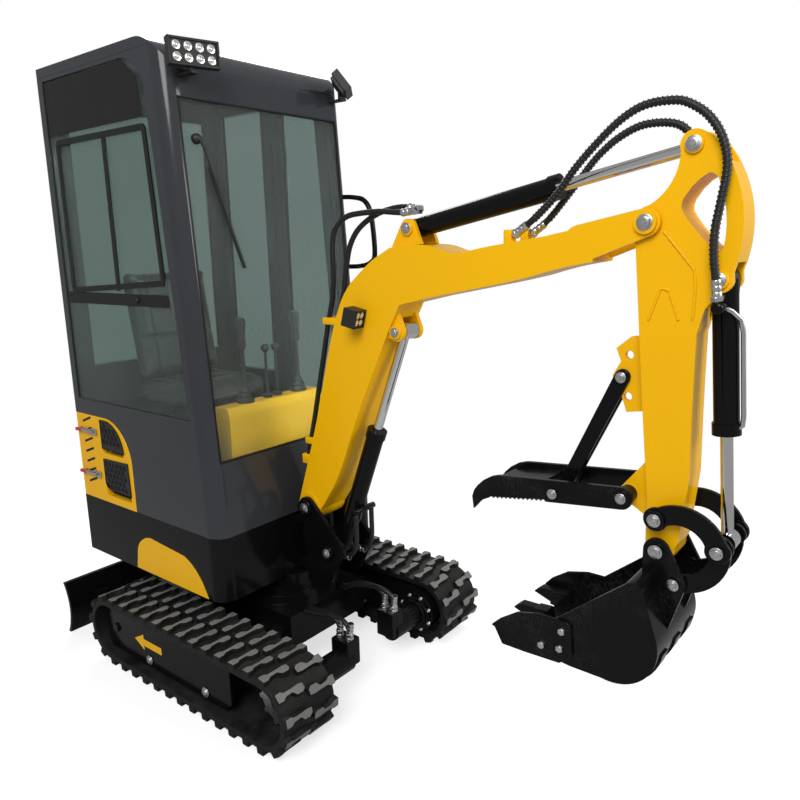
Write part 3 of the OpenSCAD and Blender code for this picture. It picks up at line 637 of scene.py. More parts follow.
def close_up(bm):
    bmesh.ops.remove_doubles(bm, verts=bm.verts, dist=1e-6)
    bmesh.ops.recalc_face_normals(bm, faces=bm.faces)
    return bm


def hardware(name, bm, body, material, width=0.0):
    piece = keep_piece(name, close_up(bm), body, material)
    if width:
        return round_edges(piece, width)
    piece.data.set_sharp_from_angle(angle=math.radians(50))
    return piece


def faces_of(*names):
    return {name: len(bpy.data.objects[name].data.polygons) for name in names}


print("makers ready")

# %% [markdown]
# Cut plates make most of the front group. An outline is a chain of straight runs and arcs in millimetres, seen
# from the side. A hole is a second outline inside it, and both are filled and given a thickness. Bosses and
# pins are short turned bars that stand a little out of their plate. Each piece keeps the place and size of its
# solid and gives it its true curves.

# %% Plates with holes
def arc(x, z, r, start, end, n=10):
    turns = [math.radians(start + (end - start) * i / n) for i in range(n + 1)]
    return [(x + r * math.cos(t), z + r * math.sin(t)) for t in turns]


def circle(x, z, r, n=24):
    return arc(x, z, r, 0, 360, n)[:-1]


def from_pin(pin, rows):
    return [(pins[pin][0] + x, pins[pin][1] + z) for x, z in rows]


def cutout_into(bm, loops, y0, y1):
    part = bmesh.new()
    edges = []
    for loop in loops:
        ring = [part.verts.new(mm(x, y0, z)) for x, z in loop]
        edges += [part.edges.new(pair) for pair in zip(ring, ring[1:] + ring[:1])]
    bmesh.ops.triangle_fill(part, use_beauty=True, use_dissolve=False, edges=edges)
    thicken(part, mm(0, y1 - y0, 0))
    pour(bm, part)


def pair_into(bm, loops, y0, y1):
    cutout_into(bm, loops, y0, y1)
    cutout_into(bm, loops, -y1, -y0)


def bar_into(bm, pin, r, y0, y1):
    x, z = pins[pin] if isinstance(pin, str) else pin
    long, r, c = (y1 - y0) / 1000, r / 1000, 0.0015
    profile = [(0, 0), (r - c, 0), (r, c), (r, long - c), (r - c, long), (0, long)]
    lathe_into(bm, mm(x, y0, z), (0, 1, 0), profile, 28)


def bars_into(bm, pin, r, y0, y1):
    bar_into(bm, pin, r, y0, y1)
    bar_into(bm, pin, r, -y1, -y0)


def formed(node, bm, material, width=0.003, extra=None):
    piece = keep_piece(node + "_formed", close_up(bm), body_of_node[node], material, node)
    if extra:
        piece.data.materials.append(extra)
    return round_edges(piece, width)


print("plate makers ready")

# %% [markdown]
# The arm is a box between two side plates. Its head is bounded by one large arc between the bosses of the two
# cylinder pins, and a rounded eye is cut through it. The core stops short of the two forks.

# %% Arm
stick = [(143, -205), (128, -264), (128, -372), (129, -471), (132, -623), (115, -796)]
foot = arc(69, -822, 38, 10, -180, 14) + [(29, -696), (4, -436), (-18, -186)]
hollow = arc(-64, 156, 132, -60.7, 1.0)
side_plate = ([(-31, -40), (-31, 20), (-14, 36)] + hollow + arc(98, 171, 33, 186, 56, 12) +
              arc(-100, -20, 316, 40, -18, 18) + arc(172, -136, 31, -8, -85, 8) + stick + foot)
core = ([(-31, -40), (-31, 20), (-14, 36)] + arc(-64, 156, 132, -60.7, -14, 7) + [(130, 128)] +
        arc(-100, -20, 316, 28, -14, 12) + [(134, -97), (134, -250)] + stick[1:] + foot)
eye_hole = (arc(-100, -20, 279, 24, -8, 10) + arc(166, -61, 9, -20, -120, 4) +
            [(131, -43), (104, -13), (84, 14), (77, 26), (76, 38), (80, 51), (97, 76), (116, 94)] +
            arc(138, 91, 14, 130, 40, 5))
bm = bmesh.new()
pair_into(bm, [from_pin("A", side_plate), from_pin("A", eye_hole)], 33, 48)
cutout_into(bm, [from_pin("A", core), from_pin("A", eye_hole)], -33.5, 33.5)
lug = from_pin("U", [(-26, 4), (-14, 24)]) + from_pin("D", [(-46, 228), (20, 228), (20, 60), (-44, 70)])
cutout_into(bm, [lug + from_pin("U", [(0, -26), (-22, -18)])], -30, 30)
bar_into(bm, "U", 26, -31, 31)
comb = [(10, -276), (-45, -284), (-84, -316), (-70, -350), (-92, -390), (-68, -433), (-50, -484), (20, -472)]
wx, wz = pins["W"]
comb_holes = [circle(wx + x, wz + z, 11) for x, z in ((14, 58), (0, 0), (14, -52))]
cutout_into(bm, [from_pin("A", comb)] + comb_holes, -8, 8)
for pin in ("R", "T"):
    bars_into(bm, pin, 22, 47.5, 56)
bar_into(bm, "T", 14, -48, 48)
bar_into(bm, "P", 17, -98, 98)
bar_into(bm, (1504, 1728), 12, 47, 72)
formed("arm", bm, yellow_paint)
print("arm", faces_of("arm_formed"))

# %% [markdown]
# The thumb is a pair of plates with a scalloped gripping edge. The rocker and the bucket link are crescents
# with round ends, and the swing post is a pair of cheeks on a stout upright tube.

# %% Thumb, rocker, link and swing post
def crescent_into(bm, loop_centre, r, half, start, end, y0, y1):
    x, z = from_pin("D", [loop_centre])[0]
    pair_into(bm, [arc(x, z, r + half, start, end, 14) + arc(x, z, r - half, end, start, 14)], y0, y1)


teeth = []
for i in range(12, -1, -1):
    x, z = -390 + 14 * i, -79 + 2.1 * i
    teeth += [(x + 6.5, z + 1), (x + 4, z + 6), (x - 4, z + 6), (x - 6.5, z + 1)]
jaw = ([(-451, -123), (-456, -84), (-449, -63), (-436, -46), (-416, -27), (-392, -12), (-366, -4),
        (-339, -1)] + arc(0, 0, 30, 96, -88, 12) + [(-204, -52)] + teeth + [(-409, -84), (-424, -92)])
bm = bmesh.new()
pair_into(bm, [from_pin("U", jaw)], 74, 88)
cutout_into(bm, [from_pin("U", [(-390, -24), (-240, -8), (-238, -22), (-386, -38)])], -75, 75)
bars_into(bm, "U", 24, 31, 89)
bar_into(bm, "V", 11, -90, 90)
bars_into(bm, "V", 17, 87.5, 92)
formed("thumb", bm, worn_black)

bm = bmesh.new()
crescent_into(bm, (58.75, 16.8), 95.1, 25, 129.7, 14.1, 78, 90)
for pin in ("P", "B"):
    bars_into(bm, pin, 31, 77.5, 90.5)
bars_into(bm, "P", 26, 90, 99)
bars_into(bm, "B", 17, 90, 98)
formed("rocker", bm, black_paint)
bm = bmesh.new()
crescent_into(bm, (50.2, 24), 102, 24, 9, -91, 53, 63)
for pin, r in (("B", 30), ("C", 29)):
    bars_into(bm, pin, r, 52.6, 63.4)
formed("bucket_link", bm, black_paint)

cheek = (arc(*pins["F"], 38, 246, 45.6, 16) + arc(385, 526, 22, 45.6, -26, 8) +
         arc(325, 403, 22, -26, -59.6, 6) + arc(275, 369, 18, -59.6, -104, 6) + [(235, 379), (215, 411)])
swing_axis = mm(205, 0, 412)
upright = [(0.0222, 0), (0.044, 0), (0.046, 0.002), (0.046, 0.149), (0.044, 0.151), (0.0222, 0.151),
           (0.0222, 0)]
bm = bmesh.new()
pair_into(bm, [cheek], 70, 84)
lathe_into(bm, swing_axis, (0, 0, 1), upright, 32)
block_into(bm, mm(229, -72, 412), mm(279, 72, 482), rounding=0.004)
block_into(bm, mm(229, -72, 497), mm(265, 72, 537), rounding=0.004)
bar_into(bm, "F", 20, -92, 92)
bars_into(bm, "F", 31, 83.5, 96)
bars_into(bm, "G", 28, 83.5, 96)
formed("swing_post", bm, black_paint)

# %% [markdown]
# The bucket is a rolled shell between two side plates. Its heel is one large arc that runs on into the back,
# with three wear strips, and two ears above carry the pins. Teeth, adapters and side cutters follow the lip.

# %% Bucket
heel, back_top, wall = (-78, -238), (-26, -92), 11
skin = [(-350, -340), (-190, -357)] + arc(*heel, 122, -100, 17.7, 26) + arc(*back_top, 28, 17.7, 140, 10)
inside = ([(-349, -340 + wall), (-190, -357 + wall)] + arc(*heel, 122 - wall, -100, 17.7, 26) +
          arc(*back_top, 28 - wall, 17.7, 140, 10))
ears = arc(0, 0, 34, 180, 31, 12) + arc(48, -78, 30, 31, -15, 6) + [(38, -214), (-4, -150), (-34, -90)]
bm = bmesh.new()
pair_into(bm, [from_pin("D", skin + [(-220, -216), (-300, -282)])], 145, 155)
cutout_into(bm, [from_pin("D", [(x, z + 0.6) for x, z in skin] + inside[::-1])], -146, 146)
pair_into(bm, [from_pin("D", ears)], 64, 74)
for y in (-104, 0, 104):
    strip = arc(*heel, 127, -96, -8, 16) + arc(*heel, 120, -8, -96, 16)
    cutout_into(bm, [from_pin("D", strip)], y - 22, y + 22)
bar_into(bm, "D", 17, -82, 82)
bars_into(bm, "C", 15, 52, 82)
bars_into(bm, "D", 24, 73.5, 77)
formed("bucket", bm, worn_black)

tip = from_pin("D", [(-446, -319), (-425, -301), (-345, -299), (-318, -326), (-318, -336), (-352, -352)])
holder = from_pin("D", [(-372, -298), (-330, -295), (-320, -326), (-340, -351), (-388, -344)])
lip = from_pin("D", [(-366, -338), (-300, -334), (-296, -346), (-352, -353)])
cutter = from_pin("D", [(-398, -358), (-428, -304), (-404, -278), (-350, -242), (-284, -226), (-200, -226),
                        (-187, -234), (-180, -318), (-186, -330), (-218, -354), (-329, -358)])
bm = bmesh.new()
for y in (-131, 0, 131):
    cutout_into(bm, [tip], y - 17, y + 17)
    cutout_into(bm, [holder], y - 22, y + 22)
cutout_into(bm, [lip], -154, 154)
pair_into(bm, [cutter], 155, 165)
formed("bucket_edge", bm, worn_black)
print("bucket", faces_of("bucket_formed", "bucket_edge_formed"))

# %% [markdown]
# A rubber track is an endless belt with two rows of staggered lugs. Each lug is a bone: a head at the edge of
# the belt, a narrow neck and a hooked foot near the middle. The tops rub on the ground, so they are paler.

# %% Tracks
wheel_x, axle_z, belt_r, belt_wall = 438, 141, 123, 20
track_y, belt_half, lug_top_r = 425, 111, 139


def loop_round(r):
    return arc(wheel_x, axle_z, r, 90, -90, 20) + arc(-wheel_x, axle_z, r, -90, -270, 20)


def lug_place(s):
    straight, half = 2 * wheel_x, math.pi * belt_r
    if s < straight:
        return -wheel_x + s, axle_z + belt_r, 0.0
    s -= straight
    if s < half:
        a = s / belt_r
        return wheel_x + belt_r * math.sin(a), axle_z + belt_r * math.cos(a), -a
    s -= half
    if s < straight:
        return wheel_x - s, axle_z - belt_r, math.pi
    a = (s - straight) / belt_r
    return -wheel_x - belt_r * math.sin(a), axle_z - belt_r * math.cos(a), math.pi - a


def lug_into(bm, s, rows):
    x, z, a = lug_place(s)
    part = outline([mm(u, y, -4) for u, y in rows], 0.0)
    thicken(part, mm(0, 0, 21.6))
    for v in part.verts:
        if v.co.z > 0.01:
            v.co.x *= 0.86
    seat = Matrix.Translation(mm(x, 0, z)) @ Matrix.Rotation(-a, 4, "Y")
    bmesh.ops.transform(part, matrix=seat, verts=part.verts)
    pour(bm, part)


bone = [(-17, 113), (17, 113), (18, 92), (9, 80), (8, 52), (24, 40), (26, 16), (16, 4), (-5, 4), (-9, 22),
        (-8, 52), (-9, 80), (-18, 92)]
lug_count = 35
lug_pitch = (4 * wheel_x + 2 * math.pi * belt_r) / lug_count
for node, side in (("track_left", 1), ("track_right", -1)):
    bm = bmesh.new()
    cutout_into(bm, [loop_round(belt_r), loop_round(belt_r - belt_wall)], side * track_y - belt_half,
                side * track_y + belt_half)
    for i in range(lug_count):
        lug_into(bm, (i + 0.5) * lug_pitch, [(u, side * (track_y + y)) for u, y in bone])
        lug_into(bm, i * lug_pitch, [(-u, side * (track_y - y)) for u, y in bone])
    for face in bm.faces:
        place = face.calc_center_median() * 1000.0
        along = max(-wheel_x, min(wheel_x, place.x))
        face.material_index = int(math.hypot(place.x - along, place.z - axle_z) > lug_top_r)
    formed(node, bm, track_rubber, 0.0025, lug_rubber)
print("lugs", 2 * lug_count, "a track")

# %% [markdown]
# Each track is driven by a hydraulic motor: a turned housing bolted to the frame by a ring of cap screws, with
# a smaller barrel behind it that carries the block for the hoses.

# %% Travel motors
bm, screw_bm = bmesh.new(), bmesh.new()
hub, port_y, screw_ring = (wheel_x, axle_z), 125, 71
cap_screw = [(0, 0), (0.008, 0), (0.008, 0.007), (0.007, 0.008), (0.004, 0.008), (0.004, 0.004), (0, 0.004)]
for r, y0, y1 in ((60, 262, 395), (40, 392, 451), (80, 290, 338), (66, 276, 292), (47, 120, 270)):
    bars_into(bm, hub, r, y0, y1)
for side in (-1, 1):
    block_into(bm, mm(wheel_x - 40, side * port_y - 32, 121), mm(wheel_x + 40, side * port_y + 36, 224),
               rounding=0.006)
    for i in range(8):
        turn = math.radians(22.5 + 45 * i)
        place = mm(wheel_x + screw_ring * math.cos(turn), side * 290, axle_z + screw_ring * math.sin(turn))
        lathe_into(screw_bm, place, (0, -side, 0), cap_screw, 14)
formed("travel_motors", bm, black_paint, 0.001)
hardware("motor_screws", screw_bm, "undercarriage", bright_steel)
print("motors", faces_of("travel_motors_formed", "motor_screws"))

# %% [markdown]
# The side openings of the hood are closed by a honeycomb inside a raised rim. It is a plate with a grid of
# six-sided holes, and a dark sheet behind it is painted shade for the unlit engine bay. The slanted slots in
# the tail are thin dark plates on the hood side, painted shade where the openings are.

# %% Grilles and slots
hood_y, cell, field_split = 406, 26, 797
low_field = [(-567, 686), (-556, 672), (-536, 662), (-391, 660), (-396, 793), (-567, 787)]
high_field = [(-567, 830)] + arc(-539, 822, 124, 2, 84, 14) + [(-567, 945)]


def in_field(x, z):
    low = -551 < x < -410 and 676 < z < 775
    return low or (x > -551 and z > 844 and math.hypot(x + 539, z - 822) < 107)


cells = [(-550 + (i + (j % 2) / 2) * cell, 680 + j * 22.5) for i in range(7) for j in range(13)]
middles = [(x, z) for x, z in cells if in_field(x, z)]
# painted shade: dark sheets behind each honeycomb for the unlit engine bay, and dark plates for the tail slots
bm, painted_shade_bm = bmesh.new(), bmesh.new()
for field in (low_field, high_field):
    holes = [arc(x, z, 12, 30, 330, 5) for x, z in middles if (z < field_split) == (field is low_field)]
    pair_into(bm, [field] + holes, hood_y - 1, hood_y + 3)
    # painted shade: a dark sheet behind the honeycomb stands for the unlit engine bay
    pair_into(painted_shade_bm, [field], hood_y - 2, hood_y + 0.4)
    for side in (-1, 1):
        band_into(bm, [mm(x, side * hood_y, z) for x, z in field], 0.007, Vector((0, side * 0.005, 0)))
formed("side_grilles", bm, moulded_plastic, 0.001)
slot = arc(4, 4.5, 4.5, 270, 90, 6) + arc(62, 4.5, 4.5, 90, -90, 6)
slant = Matrix.Rotation(math.radians(20), 2)
# painted shade: each tail slot is a thin dark plate laid on the hood side, where the opening would be
for i in range(7):
    turned = [slant @ Vector(point) for point in slot]
    pair_into(painted_shade_bm, [[(p.x - 698, p.y + 667 + 42 * i) for p in turned]], hood_y + 0.1, hood_y + 0.9)
hardware("hood_painted_shade", painted_shade_bm, "house", gasket_rubber)
print("honeycomb cells", len(middles))

# %% [markdown]
# The operator's console stands ahead of the seat, with two pilot levers in bellows and two travel levers.
# A bent tube beside the door is the grab handle.

# %% Console, levers and handle
console_half, console_z = 235, 1026
console = ((-68, 623), (14, 623), (20, 996), (10, console_z), (-66, console_z), (-72, 1008))
bm = bmesh.new()
plate_into(bm, [mm(x, -console_half, z) for x, z in console], mm(0, 2 * console_half, 0), 0.008)
hardware("control_console", bm, "house", yellow_paint, 0.004)
bellows = [(0, 0), (0.034, 0), (0.034, 0.010), (0.030, 0.010), (0.024, 0.022), (0.027, 0.026), (0.020, 0.038),
           (0.022, 0.042), (0.014, 0.056), (0.009, 0.070), (0.008, 0.200), (0.013, 0.201), (0.016, 0.220),
           (0.014, 0.250), (0.018, 0.278), (0.020, 0.300), (0.015, 0.314), (0, 0.318)]
travel = [(0, 0), (0.018, 0), (0.018, 0.012), (0.006, 0.014), (0.006, 0.174), (0.012, 0.178), (0.017, 0.190),
          (0.012, 0.202), (0, 0.207)]
bm = bmesh.new()
for y, profile in ((-120, bellows), (150, bellows), (-10, travel), (40, travel)):
    lathe_into(bm, mm(-30, y, console_z), (0, 0, 1), profile)
formed("control_levers", bm, moulded_plastic, 0.001)


front_foot, deck_z, lean = 130, 605, math.radians(3.66)


def front_x(z):
    return front_foot - (z - deck_z) * math.tan(lean)


bm = bmesh.new()
handle = [(-40, 1780), (30, 1776), (90, 1758), (118, 1700), (122, 1560), (98, 1522), (40, 1508), (-40, 1506)]
tube_into(bm, smooth_path([(front_x(z) + x, 392, z) for x, z in handle], 6), 0.010, 14)
formed("grab_handle", bm, black_paint, 0.001)
print("cab", faces_of("control_console", "control_levers_formed", "grab_handle_formed"))

# %% [markdown]
# The work lamps are flat boxes with cooling fins on bent brackets, each with a raised rim round its face.

# %% Lamp boxes
def lamp_seat(x, y, z, pitch, turn):
    return (Matrix.Translation(mm(x, y, z)) @ Matrix.Rotation(math.radians(turn), 4, "Z")
            @ Matrix.Rotation(math.radians(pitch), 4, "Y"))


def lamp_box_into(bm, seat, back, front, half_y, half_z, rim):
    block_into(bm, mm(-back, -half_y, -half_z), mm(front - 6, half_y, half_z), seat)
    for y0, y1, z0, z1 in ((-half_y, half_y, half_z - rim, half_z), (-half_y, half_y, -half_z, rim - half_z),
                           (-half_y, rim - half_y, -half_z, half_z), (half_y - rim, half_y, -half_z, half_z)):
        block_into(bm, mm(front - 8, y0, z0), mm(front, y1, z1), seat, 0.0012)


roof_lamps = ((100, -335, 2178, -4, -15), (97, 342, 2184, -38, 40))
roof_seats = [lamp_seat(*row) for row in roof_lamps]
boom_seat = lamp_seat(517, -100, 1362, 14, 10)
bm = bmesh.new()
for seat, (x, y, z, pitch, turn) in zip(roof_seats, roof_lamps):
    lamp_box_into(bm, seat, 14, 14, 82.5, 41, 7)
    for i in range(9):
        block_into(bm, mm(-26, -74.5 + 17.5 * i, -33), mm(-12, -65.5 + 17.5 * i, 33), seat, 0.001)
    block_into(bm, mm(x - 95, y - 14, z - 58), mm(x + 6, y + 14, z - 50))
    block_into(bm, mm(x - 14, y - 14, z - 58), mm(x - 2, y + 14, z - 18))
formed("work_lamps", bm, moulded_plastic, 0.001)
bm = bmesh.new()
lamp_box_into(bm, boom_seat, 30, 22, 30, 30, 6)
block_into(bm, mm(487, -88, 1354), mm(511, -64, 1370))
formed("boom_lamp", bm, moulded_plastic, 0.001)
print("lamp boxes", faces_of("work_lamps_formed", "boom_lamp_formed"))

# %% [markdown]
# Other hoses stay on one body: two pairs to the travel motors, two long ones down the back of the boom and one
# on each side of the boom cylinder. Blocks and steel ports hold their ends, and clamps hold the long runs.

# %% Held hoses
port_z, port_pair = 236, (-23, 23)
travel_routes = []
for k in port_pair:
    x = wheel_x + k
    travel_routes.append([
        (x, -port_y, port_z + 0.4), (x, -port_y, port_z + 16), (x - 16, -port_y, port_z + 42),
        (x - 60, -port_y + 2, port_z + 52), (x - 130, -port_y + 6 - k / 4, port_z + 40),
        (wheel_x - 210, -port_y + 12 - k / 2, port_z + 22), (150, -port_y + 16 - k / 2, 239)])
    travel_routes.append([
        (x, port_y, port_z + 0.4), (x, port_y, port_z + 20), (x - 14, port_y, port_z + 48),
        (x - 56, port_y - 6, port_z + 66), (x - 120, port_y - 14 + k / 4, port_z + 62),
        (wheel_x - 205, port_y - 22 + k / 2, port_z + 30), (150, port_y - 28 + k / 2, 239)])
boom_routes = [
    [(730, -46, 1688), (677, -52, 1684), (600, -56, 1690), (519, -58, 1688), (455, -58, 1678),
     (405, -56, 1640), (388, -54, 1580), (384, -50, 1500), (372, -46, 1420), (345, -42, 1340),
     (318, -40, 1240), (285, -38, 1120), (255, -36, 1010), (225, -36, 900), (205, -36, 828)],
    [(726, -14, 1690), (660, -16, 1702), (590, -20, 1694), (530, -24, 1672), (476, -26, 1636),
     (440, -26, 1585), (420, -24, 1520), (400, -20, 1440), (366, -12, 1340), (330, -10, 1240), (297, -8, 1120),
     (266, -6, 1010), (235, -6, 900), (213, -6, 828)]]
cylinder_routes = [[(436, s * 42, 656.6), (436, s * 42, 610), (436, s * 42, 566), (430, s * 42, 533),
                    (415, s * 42, 508), (392, s * 42, 494), (366, s * 42, 490), (350.4, s * 42, 490)]
                   for s in (-1, 1)]


def held_hoses(name, body, routes):
    bm = bmesh.new()
    for route in routes:
        tube_into(bm, smooth_path(route, 5), hose_radius, 14)
    keep_piece(name, bm, body, hose_rubber)
    return [round(path_length(smooth_path(r, 5)), 3) for r in routes]


print("held hoses", held_hoses("travel_hoses", "undercarriage", travel_routes),
      held_hoses("boom_hoses", "boom", boom_routes),
      held_hoses("cylinder_hoses", "boom_barrel", cylinder_routes))
port_bm = bmesh.new()
for side in (-1, 1):
    for k in port_pair:
        foot = mm(wheel_x + k, side * port_y, port_z - 13)
        hexagon_into(port_bm, foot, (0, 0, 1), 0.026, 0.008)
        lathe_into(port_bm, foot, (0, 0, 1), [(0, 0), (0.011, 0), (0.011, 0.013), (0, 0.013)])
hardware("motor_ports", port_bm, "undercarriage", bright_steel)
bm = bmesh.new()
margin = 16
for a, b, tall, deep in ((9, 8, 24, 68), (13, 12, 24, 58), (14, 13, 36, 62)):
    x, y, z = boom_routes[0][a]
    block_into(bm, mm(x - margin, y - margin, z - tall / 2),
               mm(x - margin + deep, boom_routes[1][b][1] + margin, z + tall / 2), rounding=0.003)
for y in (outer_route[0][1], inner_route[0][1]):
    block_into(bm, mm(1040, y - margin, 1570), mm(1064, y + margin, 1622), rounding=0.003)
hardware("boom_hose_blocks", bm, "boom", yellow_paint)
bm = bmesh.new()
bar_into(bm, (436, 668), 11, -56, 56)
hardware("boom_cylinder_ports", bm, "boom_barrel", black_paint)
bm = bmesh.new()
bar_into(bm, (1616, 1430), 13, -92, -24)
hardware("bucket_cylinder_port", bm, "bucket_barrel", black_paint)
print("hose ends", faces_of("motor_ports", "boom_hose_blocks", "boom_cylinder_ports", "bucket_cylinder_port"))

# %% [markdown]
# Every pin of the boom, arm, thumb and bucket is kept by a washer and a hexagon head on each side. The cutters
# on the bucket are held by three bolts a side.

# %% Bolt heads
heads = {"boom": (("A", 75, 28, 9), ("E", 56, 24, 8), ("H", 60, 22, 7)),
         "swing_post": (("F", 96, 28, 5), ("G", 96, 26, 6)),
         "arm": (("R", 56, 26, 7), ("T", 56, 24, 6), ("P", 99, 24, 7)),
         "thumb": (("U", 89, 20, 6), ("V", 92, 20, 6)), "thumb_strut": (("W", 27, 20, 6),),
         "rocker": (("B", 98, 22, 7),), "bucket": (("D", 82, 26, 6), ("C", 82, 22, 6))}


def bolt_head_into(bm, place, side, across, height):
    wide, stub = across * 0.72, across * 0.3
    out = (0, side, 0)
    washer = [(0, 0), (wide, 0), (wide, 0.0016), (across * 0.66, 0.0024), (0, 0.0024)]
    thread = [(0, 0), (stub, 0), (stub, height), (stub - 0.001, height + 0.0015), (0, height + 0.0015)]
    lathe_into(bm, place - Vector(out) * 0.0002, out, washer)
    hexagon_into(bm, place + Vector(out) * 0.002, out, across, height)
    lathe_into(bm, place + Vector(out) * 0.002, out, thread, 14)


for node, rows in heads.items():
    bm = bmesh.new()
    for pin, face, across, height in rows:
        x, z = pins[pin]
        for side in (-1, 1):
            bolt_head_into(bm, mm(x, side * face, z), side, across / 1000, height / 1000)
    hardware(node + "_bolt_heads", bm, body_of_node[node], bright_steel)
bm = bmesh.new()
for dx, dz in ((-212, -255), (-272, -315), (-217, -308)):
    for side in (-1, 1):
        hexagon_into(bm, mm(pins["D"][0] + dx, side * 165, pins["D"][1] + dz), (0, side, 0), 0.019, 0.007)
hardware("cutter_bolt_heads", bm, body_of_node["bucket_edge"], bright_steel)
print("bolted nodes", len(heads) + 1)

# %% [markdown]
# A hose end is a steel sleeve crimped on the rubber, with a hexagon nut that screws to the port.

# %% Hose fittings
sleeve = [(0.0092, 0.010), (0.0120, 0.010), (0.0120, 0.020), (0.0108, 0.022), (0.0120, 0.024),
          (0.0120, 0.034), (0.0108, 0.036), (0.0120, 0.038), (0.0120, 0.046), (0.0105, 0.050), (0.0092, 0.050)]


def fitting_into(bm, path):
    along = (path[2] - path[0]).normalized()
    lathe_into(bm, path[0], along, sleeve)
    hexagon_into(bm, path[0], along, 0.025, 0.012)


for body, name, routes in (
        ("undercarriage", "motor_hose_fittings", travel_routes),
        ("boom", "boom_hose_fittings", boom_routes + [outer_route, inner_route]),
        ("boom_barrel", "cylinder_hose_fittings", [r[::-1] for r in cylinder_routes]),
        ("arm", "arm_hose_fittings", [outer_route[::-1], inner_route[::-1]])):
    bm = bmesh.new()
    for route in routes:
        fitting_into(bm, smooth_path(route, 5))
    hardware(name, bm, body, bright_steel)

# %% [markdown]
# The large panes are bonded to the cab: a black band is printed round each edge, and a rubber strip closes
# the windscreen's joint. The right pane holds a sliding window in a black frame, and a wiper hangs from the
# head of the windscreen.

# %% Window bands, slider and wiper
screen_inset = 8


def on_screen(y, z, out):
    up_along = (z - deck_z) / math.cos(lean)
    deep = out - screen_inset
    return mm(front_foot + deep * math.cos(lean) - up_along * math.sin(lean), y, z + deep * math.sin(lean))


out_of_screen = Vector((math.cos(lean), 0, math.sin(lean)))
bm = bmesh.new()
band_into(bm, [on_screen(y, z, 0.4) for y, z in ((-358, 872), (358, 872), (358, 2060), (-358, 2060))], 0.034,
          out_of_screen * 0.001)
hardware("windscreen_band", bm, "house", gasket_rubber)
bm = bmesh.new()
tube_into(bm, [on_screen(y, z, 3) for y, z in ((-358, 871), (358, 871), (358, 2061), (-358, 2061))], 0.006, 8,
          closed=True)
hardware("windscreen_seal", bm, "house", gasket_rubber)

side_y = -401.4
pane_edge = [(-711, 1019), (24, 1019), (-60, 1500), (-72, 2067), (-107, 2150), (-180, 2199), (-711, 2199)]
bm = bmesh.new()
band_into(bm, [mm(x, side_y, z) for x, z in pane_edge], 0.030, Vector((0, -0.001, 0)))
shade = ((-700, 2196), (-190, 2196), (-116, 2140), (-100, 2010), (-700, 2010))
plate_into(bm, [mm(x, side_y, z) for x, z in shade], Vector((0, -0.001, 0)))
hardware("side_pane_band", bm, "house", gasket_rubber)
slider = [(-660, 1436), (-48, 1470), (-84, 1990), (-660, 1992)]
bm = bmesh.new()
band_into(bm, [mm(x, side_y - 0.6, z) for x, z in slider], 0.020, Vector((0, -0.006, 0)), 0.02)
block_into(bm, mm(-348, side_y - 7, 1450), mm(-326, side_y - 0.5, 1990))
block_into(bm, mm(-704, side_y - 2.4, 1398), mm(-40, side_y - 0.4, 1440))
knob = [(0, 0), (0.013, 0), (0.013, 0.006), (0.010, 0.010), (0, 0.011)]
lathe_into(bm, mm(-228, side_y, 1418), (0, -1, 0), knob)
hardware("slider_frame", bm, "house", gasket_rubber, 0.001)

bm = bmesh.new()
lathe_into(bm, on_screen(-304, 1937, 0), out_of_screen,
           [(0, 0), (0.017, 0), (0.017, 0.012), (0.012, 0.020), (0.007, 0.024), (0, 0.024)])
tube_into(bm, [on_screen(-304, 1937, 21), on_screen(-285, 1895, 24), on_screen(-214, 1668, 16)], 0.0045, 8)
plate_into(bm, [on_screen(y, z, 2) for y, z in ((-272, 1850), (-264, 1852), (-160, 1522), (-168, 1520))],
           out_of_screen * 0.012)
hardware("wiper", bm, "house", moulded_plastic, 0.001)
print("window trim", faces_of("windscreen_band", "windscreen_seal", "side_pane_band", "slider_frame", "wiper"))

# %% [markdown]
# Lamps are rows of small bright cups. Each cup is spun in one go: a rim, a hollow ring and a low dome inside.

# %% Lamp cups
def cups_into(bm, seat, places, front, radius):
    axis = (seat.to_3x3() @ Vector((1, 0, 0))).normalized()
    for y, z in places:
        cup = ((1, 0), (1, 0.002), (0.86, 0.0024), (0.7, 0.0006), (0.62, 0.0012), (0.45, 0.0045), (0.2, 0.006),
               (0, 0.0062))
        lathe_into(bm, seat @ Vector((front, y, z)), axis, [(radius * r, h) for r, h in cup], 16)


roof_cups = [((i - 1.5) * 0.037, (j - 0.5) * 0.034) for i in range(4) for j in range(2)]
bm = bmesh.new()
for seat in roof_seats:
    cups_into(bm, seat, roof_cups, 0.0082, 0.0135)
hardware("roof_lamp_cups", bm, "house", lamp_mirror)
bm = bmesh.new()
boom_cups = [(y, z) for y in (-0.012, 0.012) for z in (-0.012, 0.012)]
cups_into(bm, boom_seat, boom_cups, 0.0162, 0.0105)
hardware("boom_lamp_cups", bm, "boom", lamp_mirror)
print("cups", len(roof_seats) * len(roof_cups) + len(boom_cups))

# %% [markdown]
# The hood side is held by two pull latches with red grips. A blank yellow patch covers the skirt under the
# cab, and a plain arrow on each track frame shows which way the machine drives.

